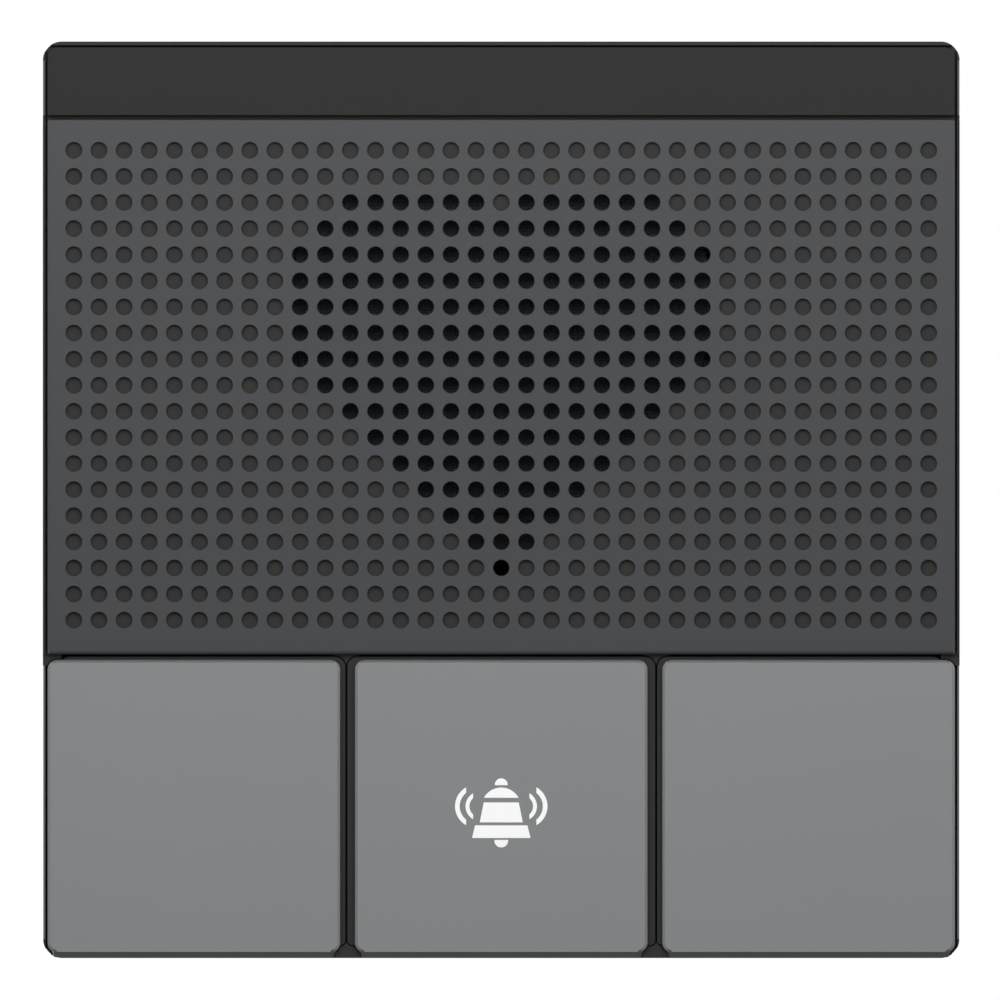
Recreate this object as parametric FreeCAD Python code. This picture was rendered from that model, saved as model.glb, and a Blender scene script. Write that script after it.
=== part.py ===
# Wall intercom with a perforated loudspeaker panel and three keys.
# Millimetres. X to the right, Z up, the front faces -Y. The origin is the middle of the wall plane.
# Depths are counted from the front face towards the wall, so y = depth - DEPTH.
import FreeCAD, Part
import math
import os

from FreeCAD import Vector

# Overall size
SIDE = 88.0
DEPTH = 36.0
HALF = SIDE / 2
CORNER_RADIUS = 1.8
FACE_HALF_WIDTH = 43.54
FACE_HALF_HEIGHT = 43.43
FACE_CORNER_RADIUS = 0.4
HIDDEN = 0.4

# Header trim
HEADER_THICKNESS = 1.6
HEADER_CHAMFER = 0.1
HEADER_CORNER_RADIUS = 1.0
HEADER_BOTTOM = 36.91
STUD_RADIUS = 0.6
STUD_HEAD_RADIUS = 0.9
STUD_HEAD_HEIGHT = 0.6
HEADER_STUDS = [(x, 40.2) for x in (-32, -11, 11, 32)]

# Grille panel, a sheet on a frame of adhesive film
PANEL_THICKNESS = 0.4
PANEL_CHAMFER = 0.1
PANEL_CORNER_RADIUS = 0.25
PANEL_TOP = 36.46
PANEL_BOTTOM = -14.83
FILM_BACK = 0.5
FILM_INSET = 0.4

# Hole field: 35 columns and 19 rows, of which a round patch with a point is open through the housing
COLUMNS = 35
ROWS = 19
COLUMN_PITCH = 2.413
ROW_PITCH = 2.505
FIRST_ROW_Z = 33.55
PANEL_HOLE_RADIUS = 0.8
SOUND_HOLE_RADIUS = 0.75
MIDDLE_COLUMN = 17
OPEN_ROWS = range(2, 17)
OPEN_HALF_WIDTH = 8

# Front housing
FRONT_WALL = FILM_BACK
FRONT_INSIDE = 2.8
SHADOW_GAP = 0.22
SHADOW_GAP_DEPTH = 1.5
SHADOW_GAP_AT_KEYS = 2.9
SEAM_FLOOR = 0.95
SEAM_NOTCH_END = 1.1
SIDE_INSIDE = 42.7
CROSSBAR_LOW = PANEL_BOTTOM
CROSSBAR_HIGH = -13.9
RIM_AT_KEYS = 3.1
RIM_CHAMFER = 0.15
RIM_SLOPE = 0.2
RIM_SLOPE_DEPTH = 1.5
KEY_FLOOR = 6.2
KEY_FLOOR_BACK = 8.0
FRONT_END = 12.0
DIVIDER_X = 14.87
DIVIDER_HALF = 0.6
DIVIDER_FRONT = 4.6
POST_FRONT = 0.9
POST_TOP_LOW = -15.9
POST_LOW_TOP = -42.1
POST_LOW_BOTTOM = -43.95
POST_HALF = 1.3
POST_ROOT = 0.3
CORNER_POST_INNER = 42.2
DOME_HOLE_RADIUS = 6.4

# Case screws
CASE_SCREW_X = 38.3
CASE_SCREW_Z = 38.6
CASE_SCREWS = [(x, z) for x in (-CASE_SCREW_X, CASE_SCREW_X) for z in (-CASE_SCREW_Z, CASE_SCREW_Z)]
BOSS_RADIUS = 2.9
BOSS_END = 14.0
CASE_SHANK_RADIUS = 1.3
CASE_SEAT = 16.0

# Keys
KEY_SIZE = 28.07
KEY_Z = -29.42
KEY_PITCH = FACE_HALF_WIDTH - KEY_SIZE / 2
KEY_NAMES = {"left": -KEY_PITCH, "centre": 0.0, "right": KEY_PITCH}
KEY_TOP = -15.36
KEY_CORNER_RADIUS = 0.95
KEY_FACE = 0.05
KEY_CHAMFER = 0.25
CAP_BACK = 1.8
CAP_POCKET_SIZE = 25.6
LIP_LOW = -43.93
LIP_KNEE = 1.6
LIP_INSET = 0.6
FLANGE_FACE = 0.8
FLANGE_LOW = -42.75
FLANGE_TOP_RADIUS = 1.0
FLANGE_LOW_RADIUS = 0.5
PAD_FACE = 1.2
CARRIER_BACK = 3.0
CARRIER_TOP = -15.05
CARRIER_OUTER = 42.4
CARRIER_SIDE_INNER = 14.97
CARRIER_CENTRE_HALF = 14.77
CARRIER_CORNER_RADIUS = 1.4
SKIRT_INSET = 0.9
SKIRT_WALL = 1.0
SKIRT_END = 4.9
PLUNGER_RADIUS = 3.0
PLUNGER_END = 5.5
HOOK_OFFSET_X = 4.0
HOOK_HALF_WIDTH = 1.5
HOOK_BARB = 0.7
HOOK_BARB_START = 8.15
HOOK_END = 9.0
POST_GAP = 0.12

# Keypad
DOME_FOOT_RADIUS = 5.6
PILL_RADIUS = 2.0
PILL_FRONT = 7.15
PILL_BACK = 7.93
PAD_FRONT = 8.96
PAD_RADIUS = 3.6
KEY_BOARD_FRONT = 9.0
KEY_BOARD_BACK = 10.6
KEY_BOARD_SCREWS_X = (-38.9, -DIVIDER_X, DIVIDER_X, 38.9)
KEY_BOARD_TIP = 6.5
SMALL_SHANK_RADIUS = 0.95

# Loudspeaker
SPEAKER_Z = 18.9
SPEAKER_RADIUS = 20.0
MESH_BACK = 3.0
FLANGE_FRONT = 4.6
FLANGE_BACK = 5.4
BASKET_TOP_RADIUS = 17.0
BASKET_BOTTOM_RADIUS = 10.6
BASKET_END = 11.4
CONE_EDGE_RADIUS = 14.4
COIL_INNER = 5.85
COIL_OUTER = 6.25
SPEAKER_SCREW_OFFSET = 16.0

# Microphone
MIC_Z = FIRST_ROW_Z - 16 * ROW_PITCH
MIC_BOOT_RADIUS = 4.4
MIC_SOCKET_RADIUS = 5.2
MIC_SOCKET_END = 7.6
MIC_BOOT_END = 8.0
MIC_RADIUS = 3.0
MIC_FRONT = 4.8
MIC_BACK = 6.9

# Main board
BOARD_FRONT = 17.4
BOARD_BACK = 19.0
BOARD_HALF_WIDTH = 37.0
BOARD_BOTTOM = -11.0
BOARD_TOP = 38.5
BOARD_SCREWS = [(-34.0, -8.5), (34.0, -8.5), (-32.6, 35.6), (32.6, 35.6)]
JACK = (-18.0, -2.0, -8.2, 13.1)
JACK_BACK = 32.4
HEADER_BOX = (4.0, 24.5, -8.2, 2.0)
HEADER_BOX_BACK = 27.4

# Rear housing
REAR_HALF = 43.0
REAR_WALL = 1.8
REAR_INSIDE = 32.9
REAR_BACK = 34.8
REAR_CORNER_RADIUS = 2.5
TONGUE_START = 10.4
TONGUE_OUTER = 42.5
TONGUE_INNER = 41.3
TUBE_RADIUS = 4.0
TUBE_BORE = 3.1
BAY_HALF_WIDTH = 27.0
BAY_BOTTOM = -38.0
BAY_TOP = -8.0
BAY_FLOOR = 20.8
BAY_WALL = 1.2

# Wall bracket
BRACKET_HALF = 40.0
BRACKET_BOTTOM = -40.9
WALL_BOX_HALF = 30.15
SLOT_RADIUS = 2.15
SLOT_LENGTH = 8.0
PLUG_HOLE_X = 33.0
PLUG_HOLE_Z = 28.0
PLUG_HOLE_RADIUS = 2.25
HOOK_X = 20.0
HOOK_LOW = 36.4
HOOK_SHEET = 1.2
LOCK_DEPTH = 29.5


def point(x, z, depth):
    return Vector(x, depth - DEPTH, z)


def box(x0, x1, z0, z1, d0, d1):
    return Part.makeBox(x1 - x0, d1 - d0, z1 - z0, point(x0, z0, d0))


def rod(x, z, radius, d0, d1):
    return Part.makeCylinder(radius, d1 - d0, point(x, z, d0), Vector(0, 1, 0))


def ring(x, z, inner, outer, d0, d1):
    return rod(x, z, outer, d0, d1).cut(rod(x, z, inner, d0, d1))


def fuse(first, others):
    return first.multiFuse(others).removeSplitter()


def outline(x0, x1, z0, z1, radius, depth):
    """Closed wire of a rectangle with round corners, at one depth."""
    corners = [(x1 - radius, z1 - radius), (x0 + radius, z1 - radius),
               (x0 + radius, z0 + radius), (x1 - radius, z0 + radius)]
    ends = []
    arcs = []
    for number, (x, z) in enumerate(corners):
        around = [math.radians(90 * number + step) for step in (0, 45, 90)]
        on_arc = [point(x + radius * math.cos(a), z + radius * math.sin(a), depth) for a in around]
        arcs.append(Part.Arc(*on_arc).toShape())
        ends.append((on_arc[0], on_arc[2]))
    edges = []
    for number, arc in enumerate(arcs):
        edges.append(arc)
        start = ends[number][1]
        finish = ends[(number + 1) % 4][0]
        if start.distanceToPoint(finish) > 1e-6:
            edges.append(Part.makeLine(start, finish))
    return Part.Wire(Part.__sortEdges__(edges))


def slab(x0, x1, z0, z1, radius, d0, d1):
    return Part.Face(outline(x0, x1, z0, z1, radius, d0)).extrude(Vector(0, d1 - d0, 0))


def square(x, z, size, radius, d0, d1):
    half = size / 2
    return slab(x - half, x + half, z - half, z + half, radius, d0, d1)


def chamfer_front(shape, depth, width):
    """Chamfers the outer edges of the flat face that lies at one depth."""
    y = depth - DEPTH
    face = max((f for f in shape.Faces if abs(f.BoundBox.YMin - y) < 1e-4 and f.BoundBox.YLength < 1e-4),
               key=lambda f: f.Area)
    return shape.makeChamfer(width, face.OuterWire.Edges)


def turned(profile, x, z):
    """Solid of revolution about an axis along Y, from a closed outline of (radius, depth) points."""
    corners = [point(x + radius, z, depth) for radius, depth in profile]
    face = Part.Face(Part.makePolygon(corners + corners[:1]))
    return face.revolve(point(x, z, 0), Vector(0, 1, 0), 360)


def bent_wire(points):
    """Straight runs joined by tangent arcs as large as the two runs allow."""
    edges = []
    start = points[0]
    for before, corner, after in zip(points, points[1:], points[2:]):
        back = before - corner
        ahead = after - corner
        turn = math.pi - back.getAngle(ahead)
        reach = 0.45 * min(back.Length, ahead.Length)
        radius = reach / math.tan(turn / 2)
        first = corner + back.normalize() * reach
        last = corner + ahead.normalize() * reach
        half_way = (back + ahead).normalize()
        middle = corner + half_way * (math.hypot(radius, reach) - radius)
        edges.append(Part.makeLine(start, first))
        edges.append(Part.Arc(first, middle, last).toShape())
        start = last
    edges.append(Part.makeLine(start, points[-1]))
    return Part.Wire(edges)


def lead(points, radius):
    path = bent_wire([point(*p) for p in points])
    section = Part.Wire(Part.makeCircle(radius, path.Vertexes[0].Point, path.Edges[0].tangentAt(0)))
    return path.makePipeShell([section], True, False)


def screw(x, z, seat, towards, head_radius, head_height, shank_radius, length):
    """Pan-head screw with a cross recess. Its head is on the wall side where towards is 1, else -1."""
    head_end = seat + towards * head_height
    tip = seat - towards * length
    head = rod(x, z, head_radius, min(seat, head_end), max(seat, head_end))
    shank = rod(x, z, shank_radius, min(seat, tip), max(seat, tip))
    recess_start = head_end - towards * head_height * 0.6
    low = min(recess_start, head_end)
    high = max(recess_start, head_end)
    arm = head_radius * 0.6
    slit = head_radius * 0.14
    cross = [box(x - arm, x + arm, z - slit, z + slit, low, high),
             box(x - slit, x + slit, z - arm, z + arm, low, high)]
    return head.fuse(shank).cut(cross).removeSplitter()


def save(name, shapes):
    shape = Part.makeCompound(shapes) if isinstance(shapes, list) else shapes
    for solid in shape.Solids:
        if not solid.isValid():
            print("invalid solid in", name)
    shape.exportStep("parts/" + name + ".step")


def hole_centre(column, row):
    return (column - MIDDLE_COLUMN) * COLUMN_PITCH, FIRST_ROW_Z - row * ROW_PITCH


def is_open(column, row):
    """True where the panel's hole goes on through the housing to the loudspeaker or the microphone."""
    across = abs(column - MIDDLE_COLUMN)
    blocked = row == OPEN_ROWS[0] and across == 0
    return row in OPEN_ROWS and across <= min(OPEN_HALF_WIDTH, row + 4, 16 - row) and not blocked


def face_slab(grown, d0, d1):
    """The outline that the front pieces share, grown all round."""
    x = FACE_HALF_WIDTH + grown
    z = FACE_HALF_HEIGHT + grown
    return slab(-x, x, -z, z, FACE_CORNER_RADIUS + grown, d0, d1)


def header_trim():
    """Bar with heat-staked studs that hold it on the housing."""
    bar = slab(-FACE_HALF_WIDTH, FACE_HALF_WIDTH, -FACE_HALF_HEIGHT, FACE_HALF_HEIGHT, HEADER_CORNER_RADIUS,
               0, HEADER_THICKNESS)
    bar = bar.common(box(-HALF, HALF, HEADER_BOTTOM, HALF, 0, HEADER_THICKNESS))
    head_end = FRONT_INSIDE + STUD_HEAD_HEIGHT
    pins = [rod(x, z, STUD_RADIUS, HEADER_THICKNESS - HIDDEN, FRONT_INSIDE) for x, z in HEADER_STUDS]
    heads = [rod(x, z, STUD_HEAD_RADIUS, FRONT_INSIDE, head_end) for x, z in HEADER_STUDS]
    return fuse(chamfer_front(bar, 0, HEADER_CHAMFER), pins + heads)


def grille_panel():
    wires = [outline(-FACE_HALF_WIDTH, FACE_HALF_WIDTH, PANEL_BOTTOM, PANEL_TOP, PANEL_CORNER_RADIUS, 0)]
    for column in range(COLUMNS):
        for row in range(ROWS):
            x, z = hole_centre(column, row)
            wires.append(Part.Wire(Part.makeCircle(PANEL_HOLE_RADIUS, point(x, z, 0), Vector(0, 1, 0))))
    plate = Part.makeFace(wires, "Part::FaceMakerBullseye").extrude(Vector(0, PANEL_THICKNESS, 0))
    return chamfer_front(plate, 0, PANEL_CHAMFER)


def panel_adhesive_film():
    """Die-cut frame round the hole field that holds the panel on the housing."""
    x = FACE_HALF_WIDTH - FILM_INSET
    frame = slab(-x, x, PANEL_BOTTOM + FILM_INSET, PANEL_TOP - FILM_INSET, 0.4, PANEL_THICKNESS, FILM_BACK)
    last_column_x, last_row_z = hole_centre(COLUMNS - 1, ROWS - 1)
    clear = PANEL_HOLE_RADIUS + 0.25
    return frame.cut(box(-last_column_x - clear, last_column_x + clear, last_row_z - clear,
                         FIRST_ROW_Z + clear, PANEL_THICKNESS, FILM_BACK))


def carrier_outline(name):
    x = KEY_NAMES[name]
    if x == 0:
        return -CARRIER_CENTRE_HALF, CARRIER_CENTRE_HALF, -CARRIER_OUTER, CARRIER_TOP
    ends = sorted((math.copysign(CARRIER_OUTER, x), math.copysign(CARRIER_SIDE_INNER, x)))
    return ends[0], ends[1], -CARRIER_OUTER, CARRIER_TOP


def flange_outline(name, grown, d0, d1):
    """The outline of a carrier's flange, grown all round. Its lower corners are less round than its upper ones."""
    x0, x1, z0, z1 = carrier_outline(name)
    sides = (x0 - grown, x1 + grown)
    low = slab(*sides, FLANGE_LOW - grown, z1 + grown, FLANGE_LOW_RADIUS + grown, d0, d1)
    return low.common(slab(*sides, -HALF - 2, z1 + grown, FLANGE_TOP_RADIUS + grown, d0, d1))


def case_hole_end(z):
    """Depth of the blind end of a case screw's hole, which is less deep behind the keys."""
    return 5.6 if z > 0 else 8.6


def cap_outline(x, grown, d0, d1):
    """A key cap's outline, grown all round."""
    half = KEY_SIZE / 2 + grown
    return slab(x - half, x + half, KEY_Z - half, KEY_TOP + grown, KEY_CORNER_RADIUS + grown, d0, d1)


def corner_posts():
    """Small three-cornered posts that fill the space round the corners of the key carriers."""
    root = CROSSBAR_LOW + POST_ROOT
    posts = [box(*sorted((side * CORNER_POST_INNER, side * HALF)), POST_TOP_LOW, root, POST_FRONT, KEY_FLOOR)
             for side in (-1, 1)]
    for x in (-DIVIDER_X, DIVIDER_X):
        top = box(x - POST_HALF, x + POST_HALF, POST_TOP_LOW, root, POST_FRONT, KEY_FLOOR)
        low = box(x - POST_HALF, x + POST_HALF, POST_LOW_BOTTOM, POST_LOW_TOP, POST_FRONT, KEY_FLOOR)
        posts += [top, low]
    keep_out = []
    for name in KEY_NAMES:
        x0, x1, z0, z1 = carrier_outline(name)
        keep_out.append(flange_outline(name, POST_GAP, 0, RIM_AT_KEYS))
        keep_out.append(slab(x0 - POST_GAP, x1 + POST_GAP, z0 - POST_GAP, z1 + POST_GAP,
                             CARRIER_CORNER_RADIUS + POST_GAP, RIM_AT_KEYS, KEY_FLOOR))
        x = KEY_NAMES[name]
        lip_half = KEY_SIZE / 2 - LIP_INSET + POST_GAP
        keep_out.append(cap_outline(x, POST_GAP, 0, RIM_AT_KEYS))
        keep_out.append(box(x - lip_half, x + lip_half, -HALF, KEY_Z, 0, RIM_AT_KEYS))
    return [solid for post in posts for solid in post.cut(keep_out).Solids if solid.Volume > 0.05]


def hook_rows():
    """Z of the middle of the lower and the upper hooks' stems, and the side that their barbs point to."""
    low = -CARRIER_OUTER + SKIRT_INSET + SKIRT_WALL + 0.4
    high = CARRIER_TOP - SKIRT_INSET - SKIRT_WALL - 0.4
    return (low, -1), (high, 1)


def front_gaps():
    """Pocket for the header trim, and the dark gaps round and between the front pieces."""
    pocket = face_slab(SHADOW_GAP, 0, HEADER_THICKNESS)
    pocket = pocket.common(box(-HALF, HALF, HEADER_BOTTOM, HALF, 0, HEADER_THICKNESS))
    gaps = [pocket,
            box(-FACE_HALF_WIDTH, FACE_HALF_WIDTH, PANEL_TOP, HEADER_BOTTOM, 0, SEAM_FLOOR)]
    for end, z0, z1 in ((FRONT_WALL + SHADOW_GAP_DEPTH, CROSSBAR_LOW, HALF),
                        (RIM_AT_KEYS + SHADOW_GAP_AT_KEYS, -HALF, CROSSBAR_LOW)):
        hoop = face_slab(SHADOW_GAP, 0, end).cut(face_slab(0, 0, end))
        gaps.append(hoop.common(box(-HALF, HALF, z0, z1, 0, end)))
    inner = FACE_HALF_WIDTH + SHADOW_GAP
    gaps += [box(*sides, PANEL_TOP, HEADER_BOTTOM, 0, SEAM_NOTCH_END)
             for sides in ((-HALF, -inner), (inner, HALF))]
    return gaps


def rim_slopes():
    """Wedges that take the side rims back in a steep slope beside the header and beside the keys."""
    beyond = 0.1
    wedges = []
    for front, z0, z1 in ((FRONT_WALL, HEADER_BOTTOM, HALF - CORNER_RADIUS),
                          (RIM_AT_KEYS, CORNER_RADIUS - HALF, POST_TOP_LOW)):
        end = front + RIM_SLOPE_DEPTH * (RIM_SLOPE + beyond) / RIM_SLOPE
        for side in (-1, 1):
            corners = [(HALF - RIM_SLOPE, front), (HALF + beyond, front), (HALF + beyond, end)]
            places = [point(side * x, z0, depth) for x, depth in corners]
            wedges.append(Part.Face(Part.makePolygon(places + places[:1])).extrude(Vector(0, 0, z1 - z0)))
    return wedges


def front_housing():
    shell_top = slab(-HALF, HALF, -HALF, HALF, CORNER_RADIUS, FRONT_WALL, FRONT_END)
    shell_top = chamfer_front(shell_top, FRONT_WALL, RIM_CHAMFER)
    shell_top = shell_top.common(box(-HALF, HALF, CROSSBAR_LOW, HALF, 0, FRONT_END))
    shell_low = slab(-HALF, HALF, -HALF, HALF, CORNER_RADIUS, RIM_AT_KEYS, FRONT_END)
    shell_low = chamfer_front(shell_low, RIM_AT_KEYS, RIM_CHAMFER)
    inside = SIDE_INSIDE
    shell = shell_top.fuse(shell_low).cut([
        box(-inside, inside, CROSSBAR_HIGH, inside, FRONT_INSIDE, FRONT_END),
        box(-inside, inside, -inside, CROSSBAR_HIGH, KEY_FLOOR_BACK, FRONT_END),
        box(-inside, inside, -inside, CROSSBAR_LOW, 0, KEY_FLOOR)] + front_gaps() + rim_slopes())

    added = corner_posts()
    for x in (-DIVIDER_X, DIVIDER_X):
        added.append(box(x - DIVIDER_HALF, x + DIVIDER_HALF, -inside, CROSSBAR_LOW, DIVIDER_FRONT, KEY_FLOOR))
    for x, z in CASE_SCREWS:
        added.append(rod(x, z, BOSS_RADIUS, FRONT_INSIDE if z > 0 else KEY_FLOOR_BACK, BOSS_END))
    for x, z in speaker_screw_places():
        added.append(rod(x, z, 2.2, FRONT_INSIDE, FLANGE_BACK))
    for x in KEY_BOARD_SCREWS_X:
        added.append(rod(x, KEY_Z, 2.2, KEY_FLOOR_BACK, KEY_BOARD_FRONT))
    locator = ring(0, SPEAKER_Z, SPEAKER_RADIUS + 0.3, SPEAKER_RADIUS + 1.3, FRONT_INSIDE, FLANGE_BACK)
    tag_gap = box(15, 25, SPEAKER_Z - 5.5, SPEAKER_Z + 5.5, FRONT_INSIDE, FLANGE_BACK)
    mesh_gap = box(-8.5, 8.5, -5, 5, FRONT_INSIDE, FLANGE_BACK)
    added.append(locator.cut([tag_gap, mesh_gap]))
    socket = ring(0, MIC_Z, MIC_BOOT_RADIUS, MIC_SOCKET_RADIUS, FRONT_INSIDE, MIC_SOCKET_END)
    added.append(socket.cut(rod(0, SPEAKER_Z, SPEAKER_RADIUS + 0.3, FRONT_INSIDE, MIC_SOCKET_END)))
    housing = fuse(shell, added)

    removed = []
    for x, z in CASE_SCREWS:
        removed.append(rod(x, z, CASE_SHANK_RADIUS, case_hole_end(z), BOSS_END))
    for x, z in speaker_screw_places():
        removed.append(rod(x, z, SMALL_SHANK_RADIUS, 2.4, FLANGE_BACK))
    for x in KEY_BOARD_SCREWS_X:
        removed.append(rod(x, KEY_Z, SMALL_SHANK_RADIUS, KEY_BOARD_TIP - 0.1, KEY_BOARD_FRONT))
    for x, z in HEADER_STUDS:
        removed.append(rod(x, z, STUD_RADIUS, HEADER_THICKNESS, FRONT_INSIDE))
    for x in KEY_NAMES.values():
        removed.append(rod(x, KEY_Z, DOME_HOLE_RADIUS, KEY_FLOOR, KEY_FLOOR_BACK))
        for z, side in hook_rows():
            slot_z = sorted((z - side * 0.9, z + side * 1.8))
            for hook_x in (x - HOOK_OFFSET_X, x + HOOK_OFFSET_X):
                half = HOOK_HALF_WIDTH + 0.3
                removed.append(box(hook_x - half, hook_x + half, *slot_z, KEY_FLOOR, KEY_FLOOR_BACK))
    for column in range(COLUMNS):
        for row in range(ROWS):
            if is_open(column, row):
                x, z = hole_centre(column, row)
                removed.append(rod(x, z, SOUND_HOLE_RADIUS, FRONT_WALL, FRONT_INSIDE))
    return housing.cut(removed)


def key_cap(x):
    """Shallow tray whose lower edge slopes back in a lip that covers the housing's lower rim."""
    block = cap_outline(x, 0, KEY_FACE, CAP_BACK)
    pocket = square(x, KEY_Z, CAP_POCKET_SIZE, 0.5, PAD_FACE, CAP_BACK)
    low = KEY_Z - KEY_SIZE / 2
    lip_front = KEY_FACE + KEY_CHAMFER
    profile = [(low + 0.5, CAP_BACK), (low + 0.5, lip_front), (low, lip_front), (LIP_LOW, LIP_KNEE),
               (LIP_LOW, CAP_BACK)]
    half = KEY_SIZE / 2 - LIP_INSET
    places = [point(x - half, z, depth) for z, depth in profile]
    lip = Part.Face(Part.makePolygon(places + places[:1])).extrude(Vector(2 * half, 0, 0))
    return fuse(chamfer_front(block, KEY_FACE, KEY_CHAMFER).cut(pocket), [lip])


def key_carrier(name):
    x = KEY_NAMES[name]
    x0, x1, z0, z1 = carrier_outline(name)
    flange = flange_outline(name, 0, FLANGE_FACE, CAP_BACK).cut(cap_outline(x, 0, 0, CAP_BACK))
    plate = slab(x0, x1, z0, z1, CARRIER_CORNER_RADIUS, CAP_BACK, CARRIER_BACK).fuse(flange)
    pad = square(x, KEY_Z, CAP_POCKET_SIZE, 0.5, PAD_FACE, CARRIER_BACK)
    pad = pad.common(slab(x0, x1, z0, z1, CARRIER_CORNER_RADIUS, 0, CARRIER_BACK))
    inset = SKIRT_INSET
    wall = SKIRT_INSET + SKIRT_WALL
    skirt = slab(x0 + inset, x1 - inset, z0 + inset, z1 - inset, 1.0, CARRIER_BACK, SKIRT_END)
    skirt = skirt.cut(box(x0 + wall, x1 - wall, z0 + wall, z1 - wall, CARRIER_BACK, SKIRT_END))
    rib_back = 3.9
    pieces = [pad, skirt, rod(x, KEY_Z, PLUNGER_RADIUS, CARRIER_BACK, PLUNGER_END),
              box(x0 + inset, x1 - inset, KEY_Z - 0.5, KEY_Z + 0.5, CARRIER_BACK, rib_back),
              box(x - 0.5, x + 0.5, z0 + inset, z1 - inset, CARRIER_BACK, rib_back)]
    for z, side in hook_rows():
        barb = sorted((z, z + side * (0.5 + HOOK_BARB)))
        for hook_x in (x - HOOK_OFFSET_X, x + HOOK_OFFSET_X):
            sides = (hook_x - HOOK_HALF_WIDTH, hook_x + HOOK_HALF_WIDTH)
            pieces.append(box(*sides, z - 0.5, z + 0.5, CARRIER_BACK, HOOK_END))
            pieces.append(box(*sides, *barb, HOOK_BARB_START, HOOK_END))
    return fuse(plate, pieces)


def bell_symbol():
    """Ringing bell in white ink on the centre key, 8.9 mm over its sound waves."""
    ink = 0.04
    front = KEY_FACE - ink

    def shape(corners):
        places = [point(x, z, front) for x, z in corners]
        return Part.Face(Part.makePolygon(places + places[:1])).extrude(Vector(0, ink, 0))

    def bowl(half_top, half_bottom, top, bottom):
        return shape([(-half_top, top), (half_top, top), (half_bottom, bottom), (-half_bottom, bottom)])

    def cap(half_width, base, height):
        """Segment of a disc that stands on its chord, or hangs from it where the height is below zero."""
        radius = (half_width ** 2 + height ** 2) / (2 * abs(height))
        side = math.copysign(1, height)
        centre = base + height - side * radius
        below = sorted((base, base - side * 2 * radius))
        disc = rod(0, centre, radius, front, KEY_FACE)
        return disc.cut(box(-radius, radius, *below, front, KEY_FACE))

    knob = cap(0.62, -27.38, 0.66)
    dome = cap(1.67, -28.59, 0.99)
    body = bowl(1.68, 2.07, -29.03, -30.95)
    brim = bowl(2.51, 2.81, -31.23, -32.45)
    clapper = cap(0.66, -32.63, -0.73)
    waves = []
    wave_z = -29.4
    for middle, half_height, bulge, stroke in ((4.44, 1.82, 1.07, 0.45), (3.43, 1.25, 0.73, 0.38)):
        radius = (half_height ** 2 + bulge ** 2) / (2 * bulge)
        centre = middle - radius
        hoop = ring(centre, wave_z, radius - stroke, radius, front, KEY_FACE)
        low = wave_z - half_height
        wave = hoop.common(box(middle - bulge, middle, low, wave_z + half_height, front, KEY_FACE))
        waves.append(wave)
        waves.append(wave.mirror(Vector(0, 0, 0), Vector(1, 0, 0)))
    return [knob, dome, body, brim, clapper] + waves


def keypad_mat():
    sheet = slab(-40.7, 40.7, KEY_Z - 6.1, KEY_Z + 6.1, 1.0, KEY_FLOOR_BACK, KEY_BOARD_FRONT)
    holes = [rod(x, KEY_Z, DOME_FOOT_RADIUS, KEY_FLOOR_BACK, KEY_BOARD_FRONT) for x in KEY_NAMES.values()]
    holes += [rod(x, KEY_Z, 2.4, KEY_FLOOR_BACK, KEY_BOARD_FRONT) for x in KEY_BOARD_SCREWS_X]
    return sheet.cut(holes)


def dome(x):
    """Silicone dome: a foot ring in the mat, a thin web and a solid head that the key's plunger rests on."""
    return turned([(0, PLUNGER_END), (3.2, PLUNGER_END), (3.2, 6.2), (DOME_FOOT_RADIUS, KEY_FLOOR_BACK),
                   (DOME_FOOT_RADIUS, KEY_BOARD_FRONT), (4.9, KEY_BOARD_FRONT), (4.9, 8.2), (2.9, 6.7),
                   (2.4, PILL_FRONT), (0, PILL_FRONT)], x, KEY_Z)


def key_board():
    board = slab(-41, 41, -36, -22.8, 1.0, KEY_BOARD_FRONT, KEY_BOARD_BACK)
    holes = [rod(x, KEY_Z, 1.1, KEY_BOARD_FRONT, KEY_BOARD_BACK) for x in KEY_BOARD_SCREWS_X]
    notches = [rod(x, -CASE_SCREW_Z, BOSS_RADIUS + 0.4, KEY_BOARD_FRONT, KEY_BOARD_BACK)
               for x in (-CASE_SCREW_X, CASE_SCREW_X)]
    return board.cut(holes + notches)


def key_contact_pads():
    """Printed contacts: under each pill two comb-shaped halves with a winding gap between them."""
    pads = []
    for x in KEY_NAMES.values():
        disc = rod(x, KEY_Z, PAD_RADIUS, PAD_FRONT, KEY_BOARD_FRONT)
        gap = 0.4
        reach = 2.4
        lines = [box(x - gap / 2, x + gap / 2, KEY_Z + 2.0, KEY_Z + PAD_RADIUS, PAD_FRONT, KEY_BOARD_FRONT),
                 box(x - gap / 2, x + gap / 2, KEY_Z - PAD_RADIUS, KEY_Z - 2.0, PAD_FRONT, KEY_BOARD_FRONT)]
        levels = [KEY_Z + 2.0 - step for step in (0, 1.0, 2.0, 3.0, 4.0)]
        side = 1
        for high, low in zip(levels, levels[1:]):
            across = sorted((x - side * gap / 2, x + side * reach))
            lines.append(box(*across, high - gap / 2, high + gap / 2, PAD_FRONT, KEY_BOARD_FRONT))
            end = x + side * reach
            lines.append(box(end - gap / 2, end + gap / 2, low - gap / 2, high + gap / 2,
                             PAD_FRONT, KEY_BOARD_FRONT))
            back = sorted((x - side * gap / 2, end))
            lines.append(box(*back, low - gap / 2, low + gap / 2, PAD_FRONT, KEY_BOARD_FRONT))
            side = -side
        pads += disc.cut(lines).Solids
    return pads


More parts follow.
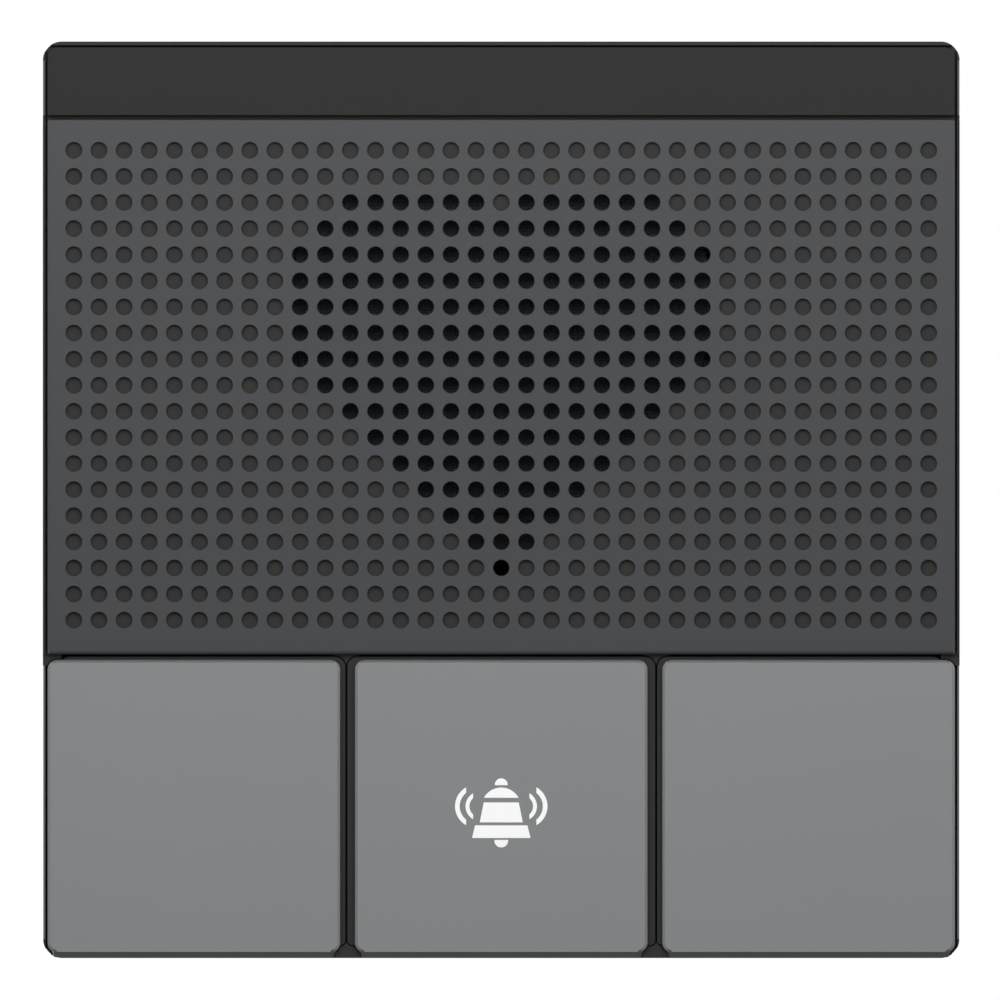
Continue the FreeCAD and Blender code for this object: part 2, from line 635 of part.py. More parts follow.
def ribbon_cable():
    """Flat cable from the key board's connector, up behind the microphone, to the main board's connector."""
    start = -31.0
    depth = 11.5
    end_depth = 16.5
    path = bent_wire([point(0, start, depth), point(0, -19.5, depth),
                      point(0, -14.5, end_depth), point(0, -10.4, end_depth)])
    half = 6.0
    thin = 0.15
    section = ((-half, -thin), (half, -thin), (half, thin), (-half, thin))
    corners = [point(x, start, depth + offset) for x, offset in section]
    return path.makePipeShell([Part.makePolygon(corners + corners[:1])], True, False)


def ribbon_connectors():
    return [box(-7, 7, -34, -31, KEY_BOARD_BACK, 12.4), box(-7, 7, -10.4, -7.4, 15.6, BOARD_FRONT)]


def speaker_screw_places():
    offset = SPEAKER_SCREW_OFFSET
    return [(x, SPEAKER_Z + z) for x in (-offset, offset) for z in (-offset, offset)]


def dust_mesh():
    disc = rod(0, SPEAKER_Z, SPEAKER_RADIUS + 0.2, FRONT_INSIDE, MESH_BACK)
    tail = box(-7.5, 7.5, -3, 4, FRONT_INSIDE, MESH_BACK)
    return fuse(disc, [tail]).cut(rod(0, MIC_Z, MIC_SOCKET_RADIUS + 0.1, FRONT_INSIDE, MESH_BACK))


def speaker_frame():
    """Steel basket with six windows, a ledge for the spider and a flat bottom for the magnet."""
    top = BASKET_TOP_RADIUS
    bottom = BASKET_BOTTOM_RADIUS
    sheet = 0.8
    flange = [(top, FLANGE_FRONT), (SPEAKER_RADIUS, FLANGE_FRONT), (SPEAKER_RADIUS, FLANGE_BACK)]
    outside = [(top + 0.6, FLANGE_BACK), (bottom + 0.6, BASKET_END), (6.6, BASKET_END)]
    inside = [(6.6, BASKET_END - sheet), (bottom - 0.2, BASKET_END - sheet)]
    spider_ledge = [(12.2, 9.9), (11.0, 9.9), (11.0, 9.3), (13.0, 9.3), (top, FLANGE_BACK + 0.2)]
    shell = turned(flange + outside + inside + spider_ledge, 0, SPEAKER_Z)
    windows = []
    for number in range(6):
        window = box(8, 25, -3.0, 3.0, 6.4, 9.0)
        window.rotate(point(0, 0, 0), Vector(0, 1, 0), 30 + 60 * number)
        window.translate(Vector(0, 0, SPEAKER_Z))
        windows.append(window)
    return shell.cut(windows)


def speaker_surround():
    """Half-round rubber roll between the cone's edge and the flange."""
    inner = CONE_EDGE_RADIUS
    outer = BASKET_TOP_RADIUS
    base = FLANGE_FRONT + 0.5
    thick = 0.3
    middle = (inner + outer) / 2
    high = base - 0.9

    def at(radius, depth):
        return point(radius, SPEAKER_Z, depth)

    front = Part.Arc(at(inner, base), at(middle, high), at(outer, base)).toShape()
    back = Part.Arc(at(inner + thick, base), at(middle, high + thick), at(outer - thick, base)).toShape()
    ends = [Part.makeLine(at(inner, base), at(inner + thick, base)),
            Part.makeLine(at(outer - thick, base), at(outer, base))]
    face = Part.Face(Part.Wire(Part.__sortEdges__([front, back] + ends)))
    return face.revolve(at(0, 0), Vector(0, 1, 0), 360)


def speaker_spider():
    """Pleated ring that centres the voice coil."""
    folds = 5
    inner = COIL_OUTER
    outer = 12.8
    pitch = (outer - inner) / (2 * folds)
    front = []
    for number in range(2 * folds + 1):
        depth = 8.75 if number % 2 else 9.05
        front.append((inner + number * pitch, depth))
    back = [(radius, depth + 0.25) for radius, depth in reversed(front)]
    return turned(front + back, 0, SPEAKER_Z)


def speaker_cone():
    edge = CONE_EDGE_RADIUS
    profile = [(edge, 5.1), (edge, 5.45), (COIL_OUTER, 8.6), (COIL_OUTER, 8.25), (edge - 0.6, 5.1)]
    return turned(profile, 0, SPEAKER_Z)


def speaker_dust_cap():
    """Domed cap over the voice coil, glued to the cone."""
    radius = 7.0
    base = 7.9
    height = 1.9
    sphere = (radius ** 2 + height ** 2) / (2 * height)
    centre = base - height + sphere
    outside = Part.makeSphere(sphere, point(0, SPEAKER_Z, centre))
    inside = Part.makeSphere(sphere - 0.25, point(0, SPEAKER_Z, centre))
    return outside.cut(inside).common(rod(0, SPEAKER_Z, radius, 0, base))


def speaker_tag_board():
    """Fibre strip with two solder tags, on the back of the flange."""
    strip = box(17.8, 20.8, SPEAKER_Z - 4.5, SPEAKER_Z + 4.5, FLANGE_BACK, FLANGE_BACK + 0.8)
    tags = [box(18.6, 21.6, z - 0.9, z + 0.9, FLANGE_BACK + 0.8, FLANGE_BACK + 1.1)
            for z in (SPEAKER_Z - 2.4, SPEAKER_Z + 2.4)]
    return [strip] + tags


def speaker_leads():
    tag = FLANGE_BACK + 1.6
    wires = []
    for z, x in ((SPEAKER_Z - 2.4, 27.6), (SPEAKER_Z + 2.4, 29.6)):
        wires.append(lead([(20.2, z, tag), (24.0, z - 0.6, tag + 0.6), (x, z - 5.0, 10.6), (x, 7.5, 15.4),
                           (x, 1.5, 15.4)], 0.5))
    return wires


def microphone_boot():
    """Rubber cup that seals the capsule to the sound holes."""
    cup = rod(0, MIC_Z, MIC_BOOT_RADIUS, FRONT_INSIDE, MIC_BOOT_END)
    pocket = rod(0, MIC_Z, MIC_RADIUS, MIC_FRONT, MIC_BACK)
    mouth = rod(0, MIC_Z, 2.4, MIC_BACK, MIC_BOOT_END)
    sound_way = rod(0, MIC_Z, 1.2, FRONT_INSIDE, MIC_FRONT)
    return cup.cut([pocket, mouth, sound_way])


def microphone_leads():
    wires = []
    for side in (-1, 1):
        z = MIC_Z + side * 0.9
        end_z = -0.8 + side * 0.9
        wires.append(lead([(-0.4, z, MIC_BACK), (-0.6, z, 10.6), (-7.0, z - 0.3, 13.2),
                           (-15.0, z + 1.6, 13.6), (-20.0, end_z, 15.4), (-26.0, end_z, 15.4)], 0.4))
    return wires


def main_board():
    board = slab(-BOARD_HALF_WIDTH, BOARD_HALF_WIDTH, BOARD_BOTTOM, BOARD_TOP, 1.0, BOARD_FRONT, BOARD_BACK)
    notches = [rod(x, CASE_SCREW_Z, TUBE_RADIUS + 0.4, BOARD_FRONT, BOARD_BACK)
               for x in (-CASE_SCREW_X, CASE_SCREW_X)]
    holes = [rod(x, z, 1.1, BOARD_FRONT, BOARD_BACK) for x, z in BOARD_SCREWS]
    return board.cut(notches + holes)


def jack_shield():
    """Folded sheet metal round the network jack, open where the plug goes in."""
    x0, x1, z0, z1 = JACK
    sheet = 0.25
    outside = box(x0, x1, z0, z1, BOARD_BACK, JACK_BACK)
    return outside.cut(box(x0 + sheet, x1 - sheet, z0, z1 - sheet, BOARD_BACK, JACK_BACK - sheet))


def jack_insert():
    """Black plastic body of the network jack, with the stepped opening for the plug and its latch."""
    x0, x1, z0, z1 = JACK
    sheet = 0.25
    middle = (x0 + x1) / 2
    body = box(x0 + sheet, x1 - sheet, z0 + 0.2, z1 - sheet, BOARD_BACK, JACK_BACK - sheet)
    plug = box(middle - 5.95, middle + 5.95, z0, z0 + 14.5, 21.0, 27.8)
    latch = box(middle - 3.1, middle + 3.1, z0, z0 + 12.0, 27.8, 29.6)
    key_way = box(middle - 2.1, middle + 2.1, z0, z0 + 10.0, 29.6, 31.0)
    return body.cut([plug, latch, key_way])


def jack_contacts():
    """Eight gilt springs that slope across the jack's opening."""
    x0, x1, z0, z1 = JACK
    middle = (x0 + x1) / 2
    springs = []
    for number in range(8):
        x = middle + (number - 3.5) * 1.02
        corners = [(z0 + 3.0, 21.0), (z0 + 3.5, 21.0), (z0 + 11.6, 24.4), (z0 + 11.6, 24.8)]
        places = [point(x - 0.17, z, d) for z, d in corners]
        springs.append(Part.Face(Part.makePolygon(places + places[:1])).extrude(Vector(0.34, 0, 0)))
    return springs


def wire_header():
    """Open box header for the power and door wires."""
    x0, x1, z0, z1 = HEADER_BOX
    wall = 1.0
    body = box(x0, x1, z0, z1, BOARD_BACK, HEADER_BOX_BACK)
    return body.cut(box(x0 + wall, x1 - wall, z0, z1 - 2.0, BOARD_BACK + wall, HEADER_BOX_BACK - wall))


def wire_header_pins():
    x0, x1, z0, z1 = HEADER_BOX
    pitch = 3.5
    middle = (x0 + x1) / 2
    depth = (BOARD_BACK + HEADER_BOX_BACK) / 2
    half = 0.5
    centres = [middle + place * pitch for place in (-2, -1, 0, 1, 2)]
    return [box(x - half, x + half, z0 + 2.0, z1 - 2.0, depth - half, depth + half) for x in centres]


def power_transformer():
    """Two ferrite halves with the taped winding between their side legs."""
    core = box(-17, -2, 20, 33, BOARD_BACK + 1.5, 28.5)
    window = box(-14, -5, 20, 33, BOARD_BACK + 3.5, 26.5)
    winding = box(-13.8, -5.2, 21.0, 32.0, BOARD_BACK + 3.7, 26.3)
    base = box(-17, -2, 20, 33, BOARD_BACK, BOARD_BACK + 1.5)
    return [core.cut(window), winding, base]


def electrolytic_capacitors():
    places = ((4.5, 23.5, 4.0, 10.5), (14.0, 23.5, 4.0, 10.5),
              (23.0, 24.5, 3.15, 8.0), (8.0, 32.5, 3.15, 8.0))
    cans = []
    for x, z, radius, height in places:
        can = rod(x, z, radius, BOARD_BACK, BOARD_BACK + height)
        top = max(can.Faces, key=lambda face: face.CenterOfMass.y)
        cans.append(can.makeChamfer(0.4, top.Edges))
    return cans


def chip(x, z, width, height, d0, d1):
    return box(x - width / 2, x + width / 2, z - height / 2, z + height / 2, d0, d1)


def board_small_parts():
    """Crystal, regulator, amplifier and rows of small resistors and capacitors."""
    back = BOARD_BACK
    parts = [chip(-26, 36, 5, 3.2, back, back + 1.2), chip(26, 14, 6.5, 6.2, back, back + 1.6),
             chip(24, 33, 5, 4, back, back + 1.5), chip(-22.5, 1.0, 4, 5, back, back + 1.2)]
    for number in range(8):
        parts.append(chip(-16.5 + number * 2.0, 35.5, 0.8, 1.2, back, back + 0.5))
        parts.append(chip(-33 + number * 2.0, 6.0, 0.9, 1.6, back, back + 0.6))
        parts.append(chip(2.5 + number * 2.4, 18.2, 1.2, 0.8, back, back + 0.6))
        parts.append(chip(26.5 + (number % 4) * 2.0, 8.0 + (number // 4) * 2.6, 0.9, 1.6, back, back + 0.6))
    return parts


def case_tubes(radius, d0, d1):
    return [rod(x, z, radius, d0, d1) for x, z in CASE_SCREWS]


def rear_housing():
    outer = REAR_HALF
    inner = REAR_HALF - REAR_WALL
    shell = slab(-outer, outer, -outer, outer, REAR_CORNER_RADIUS, FRONT_END, REAR_BACK)
    shell = shell.cut(slab(-inner, inner, -inner, inner, 1.5, FRONT_END, REAR_INSIDE))
    lip = slab(-TONGUE_OUTER, TONGUE_OUTER, -TONGUE_OUTER, TONGUE_OUTER, 1.5, TONGUE_START, FRONT_END)
    hollow = slab(-TONGUE_INNER, TONGUE_INNER, -TONGUE_INNER, TONGUE_INNER, 1.0, TONGUE_START, FRONT_END)
    lip = lip.cut([hollow] + case_tubes(BOSS_RADIUS + 0.3, TONGUE_START, FRONT_END))
    wall = BAY_WALL
    pocket_front = 29.9
    added = [lip] + case_tubes(TUBE_RADIUS, BOSS_END, REAR_BACK)
    added.append(box(-BAY_HALF_WIDTH - wall, BAY_HALF_WIDTH + wall, BAY_BOTTOM - wall, BAY_TOP + wall,
                     BAY_FLOOR - 1.4, REAR_INSIDE))
    for x, z in BOARD_SCREWS:
        added.append(rod(x, z, 2.4, BOARD_BACK, REAR_INSIDE))
    for x in (-1, 1):
        middle = x * WALL_BOX_HALF
        added.append(box(middle - 8.5, middle + 8.5, -5.2, 5.2, pocket_front, REAR_INSIDE))
        for z in (-PLUG_HOLE_Z, PLUG_HOLE_Z):
            added.append(rod(x * PLUG_HOLE_X, z, 5.4, pocket_front, REAR_INSIDE))
    housing = fuse(shell, added)

    removed = case_tubes(1.5, BOSS_END, CASE_SEAT) + case_tubes(TUBE_BORE, CASE_SEAT, REAR_BACK)
    removed += case_tubes(BOSS_RADIUS + 0.1, FRONT_END, BOSS_END)
    removed.append(box(-BAY_HALF_WIDTH, BAY_HALF_WIDTH, BAY_BOTTOM, BAY_TOP, BAY_FLOOR, REAR_BACK))
    for (x0, x1, z0, z1), back in ((JACK, JACK_BACK), (HEADER_BOX, HEADER_BOX_BACK)):
        removed.append(box(x0 - 0.2, x1 + 0.2, z0, BAY_TOP + wall, BAY_FLOOR - 1.4, back + 0.2))
    for x, z in BOARD_SCREWS:
        removed.append(rod(x, z, SMALL_SHANK_RADIUS, BOARD_BACK, 27.0))
    for x in (-1, 1):
        middle = x * WALL_BOX_HALF
        removed.append(box(middle - 7.5, middle + 7.5, -4.2, 4.2, pocket_front + 1.2, REAR_BACK))
        sides = (x * HOOK_X - 3.4, x * HOOK_X + 3.4)
        removed.append(box(*sides, HOOK_LOW - 2.0, HOOK_LOW + 1.4, REAR_INSIDE, REAR_BACK))
        for z in (-PLUG_HOLE_Z, PLUG_HOLE_Z):
            removed.append(rod(x * PLUG_HOLE_X, z, 4.4, pocket_front + 1.2, REAR_BACK))
    removed.append(box(-5.4, 5.4, -inner, -39.4, REAR_INSIDE, REAR_BACK))
    below = point(0, -REAR_HALF, LOCK_DEPTH)
    removed.append(Part.makeCylinder(1.7, REAR_WALL, below, Vector(0, 0, 1)))
    removed.append(Part.makeCylinder(2.9, 0.6, below, Vector(0, 0, 1)))
    return housing.cut(removed)


def case_screws():
    return [screw(x, z, CASE_SEAT, 1, 2.7, 1.8, CASE_SHANK_RADIUS, CASE_SEAT - case_hole_end(z) - 0.2)
            for x, z in CASE_SCREWS]


def wall_bracket():
    """Pressed steel plate with two bent hooks at the top and a threaded tab at the bottom."""
    plate = slab(-BRACKET_HALF, BRACKET_HALF, BRACKET_BOTTOM, BRACKET_HALF, 3.0, REAR_BACK, DEPTH)
    sheet = HOOK_SHEET
    hook_front = REAR_INSIDE - 0.3 - sheet
    bent = [box(-5, 5, BRACKET_BOTTOM, BRACKET_BOTTOM + sheet, 25.0, REAR_BACK + 0.2)]
    removed = [slab(-22, 22, -31, -7, 2.0, REAR_BACK, DEPTH)]
    for x in (-1, 1):
        sides = (x * HOOK_X - 3.0, x * HOOK_X + 3.0)
        bent.append(box(*sides, HOOK_LOW, HOOK_LOW + sheet, hook_front, REAR_BACK + 0.2))
        bent.append(box(*sides, HOOK_LOW, HOOK_LOW + 3.0, hook_front, hook_front + sheet))
        removed.append(box(*sides, HOOK_LOW + sheet, BRACKET_HALF - 1.5, REAR_BACK, DEPTH))
        removed.append(wall_box_slot(x * WALL_BOX_HALF))
        for z in (-PLUG_HOLE_Z, PLUG_HOLE_Z):
            removed.append(rod(x * PLUG_HOLE_X, z, PLUG_HOLE_RADIUS, REAR_BACK, DEPTH))
    removed.append(Part.makeCylinder(1.5, sheet, point(0, BRACKET_BOTTOM, LOCK_DEPTH), Vector(0, 0, 1)))
    return fuse(plate, bent).cut(removed)


def wall_box_slot(middle):
    """Round-ended slot along X for a wall box screw."""
    straight = SLOT_LENGTH / 2 - SLOT_RADIUS
    ends = [rod(middle + side * straight, 0, SLOT_RADIUS, REAR_BACK, DEPTH) for side in (-1, 1)]
    return fuse(box(middle - straight, middle + straight, -SLOT_RADIUS, SLOT_RADIUS, REAR_BACK, DEPTH), ends)


def locking_screw():
    """Screw from below, through the rear housing into the bracket's tab."""
    axis = Vector(0, 0, 1)
    head = Part.makeCylinder(2.6, 1.4, point(0, -43.8, LOCK_DEPTH), axis)
    shank = Part.makeCylinder(1.5, 3.0, point(0, -42.4, LOCK_DEPTH), axis)
    socket = Part.makeCylinder(1.1, 0.9, point(0, -43.8, LOCK_DEPTH), axis)
    return head.fuse(shank).cut(socket).removeSplitter()


def save_front():
    save("front_housing", front_housing())
    save("header_trim", header_trim())
    save("grille_panel", grille_panel())
    save("panel_adhesive_film", panel_adhesive_film())
    save("dust_mesh", dust_mesh())


def save_speaker():
    save("speaker_gasket", ring(0, SPEAKER_Z, 17.6, SPEAKER_RADIUS, MESH_BACK, FLANGE_FRONT))
    save("speaker_frame", speaker_frame())
    save("speaker_surround", speaker_surround())
    save("speaker_spider", speaker_spider())
    save("speaker_pole_plate", ring(0, SPEAKER_Z, 6.5, 10.0, BASKET_END, 12.6))
    save("speaker_magnet", ring(0, SPEAKER_Z, 7.2, 11.5, 12.6, 15.2))
    yoke = rod(0, SPEAKER_Z, 10.5, 15.2, 16.4).fuse(rod(0, SPEAKER_Z, 5.6, 11.3, 15.2))
    save("speaker_yoke", yoke.removeSplitter())
    save("speaker_cone", speaker_cone())
    save("speaker_dust_cap", speaker_dust_cap())
    save("speaker_voice_coil", ring(0, SPEAKER_Z, COIL_INNER, COIL_OUTER, 8.2, 13.2))
    save("speaker_tag_board", speaker_tag_board())
    save("speaker_leads", speaker_leads())
    save("speaker_screws", [screw(x, z, FLANGE_BACK, 1, 3.0, 1.2, SMALL_SHANK_RADIUS, 2.9)
                            for x, z in speaker_screw_places()])


def save_microphone():
    save("microphone_boot", microphone_boot())
    save("microphone_capsule", rod(0, MIC_Z, MIC_RADIUS, MIC_FRONT, MIC_BACK))
    save("microphone_leads", microphone_leads())


def save_keypad():
    for name, x in KEY_NAMES.items():
        save(name + "_key_cap", key_cap(x))
        save(name + "_key_carrier", key_carrier(name))
        save(name + "_dome", dome(x))
        save(name + "_contact_pill", rod(x, KEY_Z, PILL_RADIUS, PILL_FRONT, PILL_BACK))
    save("bell_symbol", bell_symbol())
    save("keypad_mat", keypad_mat())
    save("key_board", key_board())
    save("key_contact_pads", key_contact_pads())
    length = KEY_BOARD_BACK - KEY_BOARD_TIP
    save("key_board_screws", [screw(x, KEY_Z, KEY_BOARD_BACK, 1, 1.9, 1.3, SMALL_SHANK_RADIUS, length)
                              for x in KEY_BOARD_SCREWS_X])
    save("ribbon_cable", ribbon_cable())
    save("ribbon_connectors", ribbon_connectors())


def save_main_board():
    save("main_board", main_board())
    save("main_board_screws", [screw(x, z, BOARD_FRONT, -1, 1.9, 1.3, SMALL_SHANK_RADIUS, 7.0)
                               for x, z in BOARD_SCREWS])
    save("processor_chip", chip(-26, 26, 12, 12, BOARD_BACK, BOARD_BACK + 1.2))
    save("memory_chip", chip(-28, 0.5, 6, 8, BOARD_BACK, BOARD_BACK + 1.0))
    save("network_transformer", chip(-27, 12.5, 12, 9.5, BOARD_BACK, BOARD_BACK + 6.0))
    save("power_transformer", power_transformer())
    save("electrolytic_capacitors", electrolytic_capacitors())
    save("door_relay", chip(13.8, 11.0, 15.5, 10.5, BOARD_BACK, BOARD_BACK + 11.4))
    save("ethernet_jack_shield", jack_shield())
    save("ethernet_jack_insert", jack_insert())
    save("ethernet_contacts", jack_contacts())
    save("wire_header", wire_header())
    save("wire_header_pins", wire_header_pins())
    save("audio_connectors", [box(x0, x0 + 5, -3, 1.5, 13.4, BOARD_FRONT) for x0 in (-31, 26)])
    save("board_small_parts", board_small_parts())


def save_rear():
    save("rear_housing", rear_housing())
    save("case_screws", case_screws())
    save("wall_bracket", wall_bracket())
    save("locking_screw", locking_screw())


os.makedirs("parts", exist_ok=True)
save_front()
save_speaker()
save_microphone()
save_keypad()
save_main_board()
save_rear()
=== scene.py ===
# Wall intercom with a perforated loudspeaker panel and three keys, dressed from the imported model.
# X to the right, Z up, the front faces -Y. Pieces are drawn in millimetres, with depths counted from the
# front face, and brought to metres by MM. Textures, floor, lamps and camera are in metres.
import math

import bmesh
import bpy
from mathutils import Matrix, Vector


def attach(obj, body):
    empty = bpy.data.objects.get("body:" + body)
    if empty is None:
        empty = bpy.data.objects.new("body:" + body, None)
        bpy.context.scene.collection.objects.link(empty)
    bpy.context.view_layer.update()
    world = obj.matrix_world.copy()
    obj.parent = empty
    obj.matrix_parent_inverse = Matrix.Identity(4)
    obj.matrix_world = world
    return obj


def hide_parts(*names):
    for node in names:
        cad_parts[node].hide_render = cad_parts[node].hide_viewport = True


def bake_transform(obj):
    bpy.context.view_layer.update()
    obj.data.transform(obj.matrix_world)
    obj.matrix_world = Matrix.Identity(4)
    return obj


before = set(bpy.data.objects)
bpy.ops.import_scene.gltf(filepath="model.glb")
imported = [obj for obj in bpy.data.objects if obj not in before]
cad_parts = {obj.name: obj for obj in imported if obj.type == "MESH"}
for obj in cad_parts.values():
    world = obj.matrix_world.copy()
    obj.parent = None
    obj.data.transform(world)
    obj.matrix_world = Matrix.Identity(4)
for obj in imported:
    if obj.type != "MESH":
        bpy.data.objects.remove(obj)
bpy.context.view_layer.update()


# Wall bracket and screws: zinc-plated steel sheet and wire.
# The plate is pressed from rolled sheet, so it has a faint grain along X under a cloudy plating.
class Shade:
    """A socket of a material. Sums and products of shades build the maths nodes that they stand for."""

    def __init__(self, finish, socket):
        self.finish = finish
        self.socket = socket

    def maths(self, operation, first, second):
        return self.finish.node("ShaderNodeMath", {"operation": operation}, {0: first, 1: second})

    def __add__(self, other):
        return self.maths("ADD", self, other)

    __radd__ = __add__

    def __mul__(self, other):
        return self.maths("MULTIPLY", self, other)

    def __sub__(self, other):
        return self.maths("SUBTRACT", self, other)

    def __rsub__(self, other):
        return self.maths("SUBTRACT", other, self)


class Finish:
    """A material being made: its nodes and the shader that they feed."""

    def __init__(self, name, **sockets):
        self.material = bpy.data.materials.new(name)
        self.material.use_nodes = True
        self.tree = self.material.node_tree
        self.shader = self.tree.nodes["Principled BSDF"]
        self.place = self.node("ShaderNodeTexCoord", output="Object")
        for socket, value in sockets.items():
            self.set(socket.replace("_", " ").title().replace("Ior", "IOR"), value)

    def set(self, socket, value):
        self.feed(self.shader.inputs[socket], value)

    def fed(self, socket):
        """The shade that feeds a socket so far."""
        return Shade(self, self.shader.inputs[socket].links[0].from_socket)

    def feed(self, socket, value):
        if isinstance(value, Shade):
            self.tree.links.new(value.socket, socket)
        elif isinstance(value, (tuple, list)) and socket.type == "RGBA":
            socket.default_value = (*value[:3], 1.0)
        else:
            socket.default_value = value

    def node(self, kind, settings=None, sockets=None, output=0):
        """Adds a node, with its settings first and then the values or links of its sockets."""
        made = self.tree.nodes.new(kind)
        for name, value in (settings or {}).items():
            setattr(made, name, value)
        for name, value in (sockets or {}).items():
            self.feed(made.inputs[name], value)
        return Shade(self, made.outputs[output])

    def noise(self, grain, detail=3.0, stretch=(1, 1, 1)):
        """Noise from 0 to 1, with grains that many metres across."""
        stretched = self.node("ShaderNodeMapping", None, {"Vector": self.place, "Scale": stretch})
        return self.node("ShaderNodeTexNoise", None,
                         {"Vector": stretched, "Scale": 1 / grain, "Detail": detail})

    def band(self, value, low, high):
        """Rises smoothly from 0 at low to 1 at high."""
        return self.node("ShaderNodeMapRange", {"interpolation_type": "SMOOTHSTEP"},
                         {"Value": value, "From Min": low, "From Max": high})

    def blend(self, factor, first, second):
        return self.node("ShaderNodeMix", {"data_type": "RGBA"}, {0: factor, 6: first, 7: second}, output=2)

    def relief(self, height, depth):
        """Bump from a height of 0 to 1 that stands for that many metres."""
        return self.node("ShaderNodeBump", None, {"Height": height, "Distance": depth, "Strength": 1.0})


def tint(colour, factor):
    return tuple(channel * factor for channel in colour)


def dress(finish, *nodes):
    """Gives a CAD node's material slots a finish."""
    for node in nodes:
        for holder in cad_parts[node].material_slots:
            holder.material = finish.material


PLATING_CLOUD = 0.006


def plated_metal(name, colour, roughness, grain, stretch=(1, 1, 1)):
    """Metal with a rolled or drawn grain and a slightly cloudy plating."""
    finish = Finish(name, metallic=1.0)
    cloud = finish.noise(PLATING_CLOUD)
    lines = finish.noise(grain, stretch=stretch)
    finish.set("Base Color", finish.blend(cloud, tint(colour, 0.88), tint(colour, 1.06)))
    finish.set("Roughness", roughness + (cloud - 0.5) * 0.16 + (lines - 0.5) * 0.12)
    finish.set("Normal", finish.relief(lines, 0.000003))
    return finish


dress(plated_metal("zinc_plated_sheet", (0.60, 0.60, 0.58), 0.36, 0.0004, (0.08, 1, 1)), "wall_bracket")
dress(plated_metal("zinc_plated_screws", (0.62, 0.62, 0.60), 0.30, 0.0003),
      "locking_screw", "case_screws", "main_board_screws", "key_board_screws", "speaker_screws")


# Rear housing: charcoal moulding with the cable bay, the hook slots and the screw wells.
# It is one injection moulding with a fine spark-eroded texture on its outside.
CHARCOAL = (0.0190, 0.0189, 0.0184)
CHARCOAL_GLOSS = 0.15
MOULDING_CLOUD = 0.014


def moulded(name, colour, roughness, grain=0.00025, depth=0.000004, specular=0.5, clouds=0.03):
    """Moulded plastic: nearly even colour over a fine texture."""
    finish = Finish(name, specular_ior_level=specular)
    cloud = finish.noise(MOULDING_CLOUD)
    texture = finish.noise(grain, detail=2.0)
    finish.set("Base Color", finish.blend(cloud, tint(colour, 1 - clouds), tint(colour, 1 + clouds)))
    finish.set("Roughness", roughness + (texture - 0.5) * 0.10)
    finish.set("Normal", finish.relief(texture, depth))
    return finish


dress(moulded("charcoal_rear", CHARCOAL, 0.52, specular=CHARCOAL_GLOSS), "rear_housing")


# Main board: glass-filled board with green solder mask, and the parts on it.
# Copper runs show as slightly lighter lines under the mask; the parts keep their usual colours.
COPPER_RUNS_SCALE = 260.0


def board_finish(name, colour):
    """Solder mask over copper runs that stand a little proud."""
    finish = Finish(name, coat_weight=0.4, coat_roughness=0.2)
    runs = finish.node("ShaderNodeTexBrick", {"offset": 0.37, "squash": 0.6, "squash_frequency": 3},
                       {"Vector": finish.place, "Scale": COPPER_RUNS_SCALE, "Mortar Size": 0.05,
                        "Color1": (0, 0, 0), "Color2": (0.2, 0.2, 0.2), "Mortar": (1, 1, 1)}, output="Fac")
    finish.set("Base Color", finish.blend(runs, colour, tint(colour, 1.9)))
    finish.set("Roughness", 0.42 - runs * 0.08)
    finish.set("Normal", finish.relief(runs, 0.00003))
    return finish


dress(board_finish("green_board", (0.020, 0.130, 0.050)), "main_board", "key_board")
dress(moulded("chip_epoxy", (0.016, 0.016, 0.017), 0.55, grain=0.00012),
      "processor_chip", "memory_chip", "network_transformer", "board_small_parts", "electrolytic_capacitors")
dress(moulded("relay_blue", (0.030, 0.120, 0.450), 0.28, grain=0.0006), "door_relay")
dress(moulded("header_green", (0.050, 0.350, 0.120), 0.33, grain=0.0005), "wire_header")
dress(moulded("nylon_white", (0.750, 0.730, 0.660), 0.38, grain=0.0004),
      "ribbon_connectors", "audio_connectors")
dress(moulded("ferrite_grey", (0.030, 0.030, 0.032), 0.62, grain=0.0002, depth=0.000015),
      "power_transformer", "speaker_magnet")
dress(moulded("jack_black", (0.015, 0.015, 0.016), 0.42, grain=0.0004), "ethernet_jack_insert")
dress(plated_metal("jack_tinned_sheet", (0.66, 0.66, 0.64), 0.28, 0.0003, (1, 1, 0.1)),
      "ethernet_jack_shield")
dress(plated_metal("gilt_contacts", (0.80, 0.55, 0.20), 0.25, 0.0003),
      "ethernet_contacts", "key_contact_pads")
dress(plated_metal("tinned_pins", (0.70, 0.70, 0.66), 0.30, 0.0003), "wire_header_pins")


# Front housing: charcoal moulding behind the panel. It shows as the floor of the blind holes, as the dark
# gaps and wedges between the pieces and as the thin rim all round.
dress(moulded("charcoal_front", tint(CHARCOAL, 1.2), 0.55, specular=CHARCOAL_GLOSS), "front_housing")


# Loudspeaker: steel basket, ferrite magnet, paper cone, rubber surround and a pleated cloth spider.
# It is glued up from its pieces.
SPEAKER_Z = 18.9
FRONT_Y = -36.0
MM = 0.001


def spot(x, depth, z):
    """A place in metres, from millimetres and a depth behind the front face."""
    return Vector((x, FRONT_Y + depth, z)) * MM


def begin(name, x, depth, z, size):
    """Adds a square plane that faces the front, and leaves it in edit mode with nothing else selected."""
    bpy.ops.object.select_all(action="DESELECT")
    bpy.ops.mesh.primitive_plane_add(size=size * MM, location=spot(x, depth, z),
                                     rotation=(math.pi / 2, 0, 0))
    piece = bpy.context.object
    piece.name = piece.data.name = name
    bpy.ops.object.transform_apply(location=True, rotation=True, scale=True)
    bpy.ops.object.mode_set(mode="EDIT")
    bpy.ops.mesh.select_all(action="SELECT")
    return piece


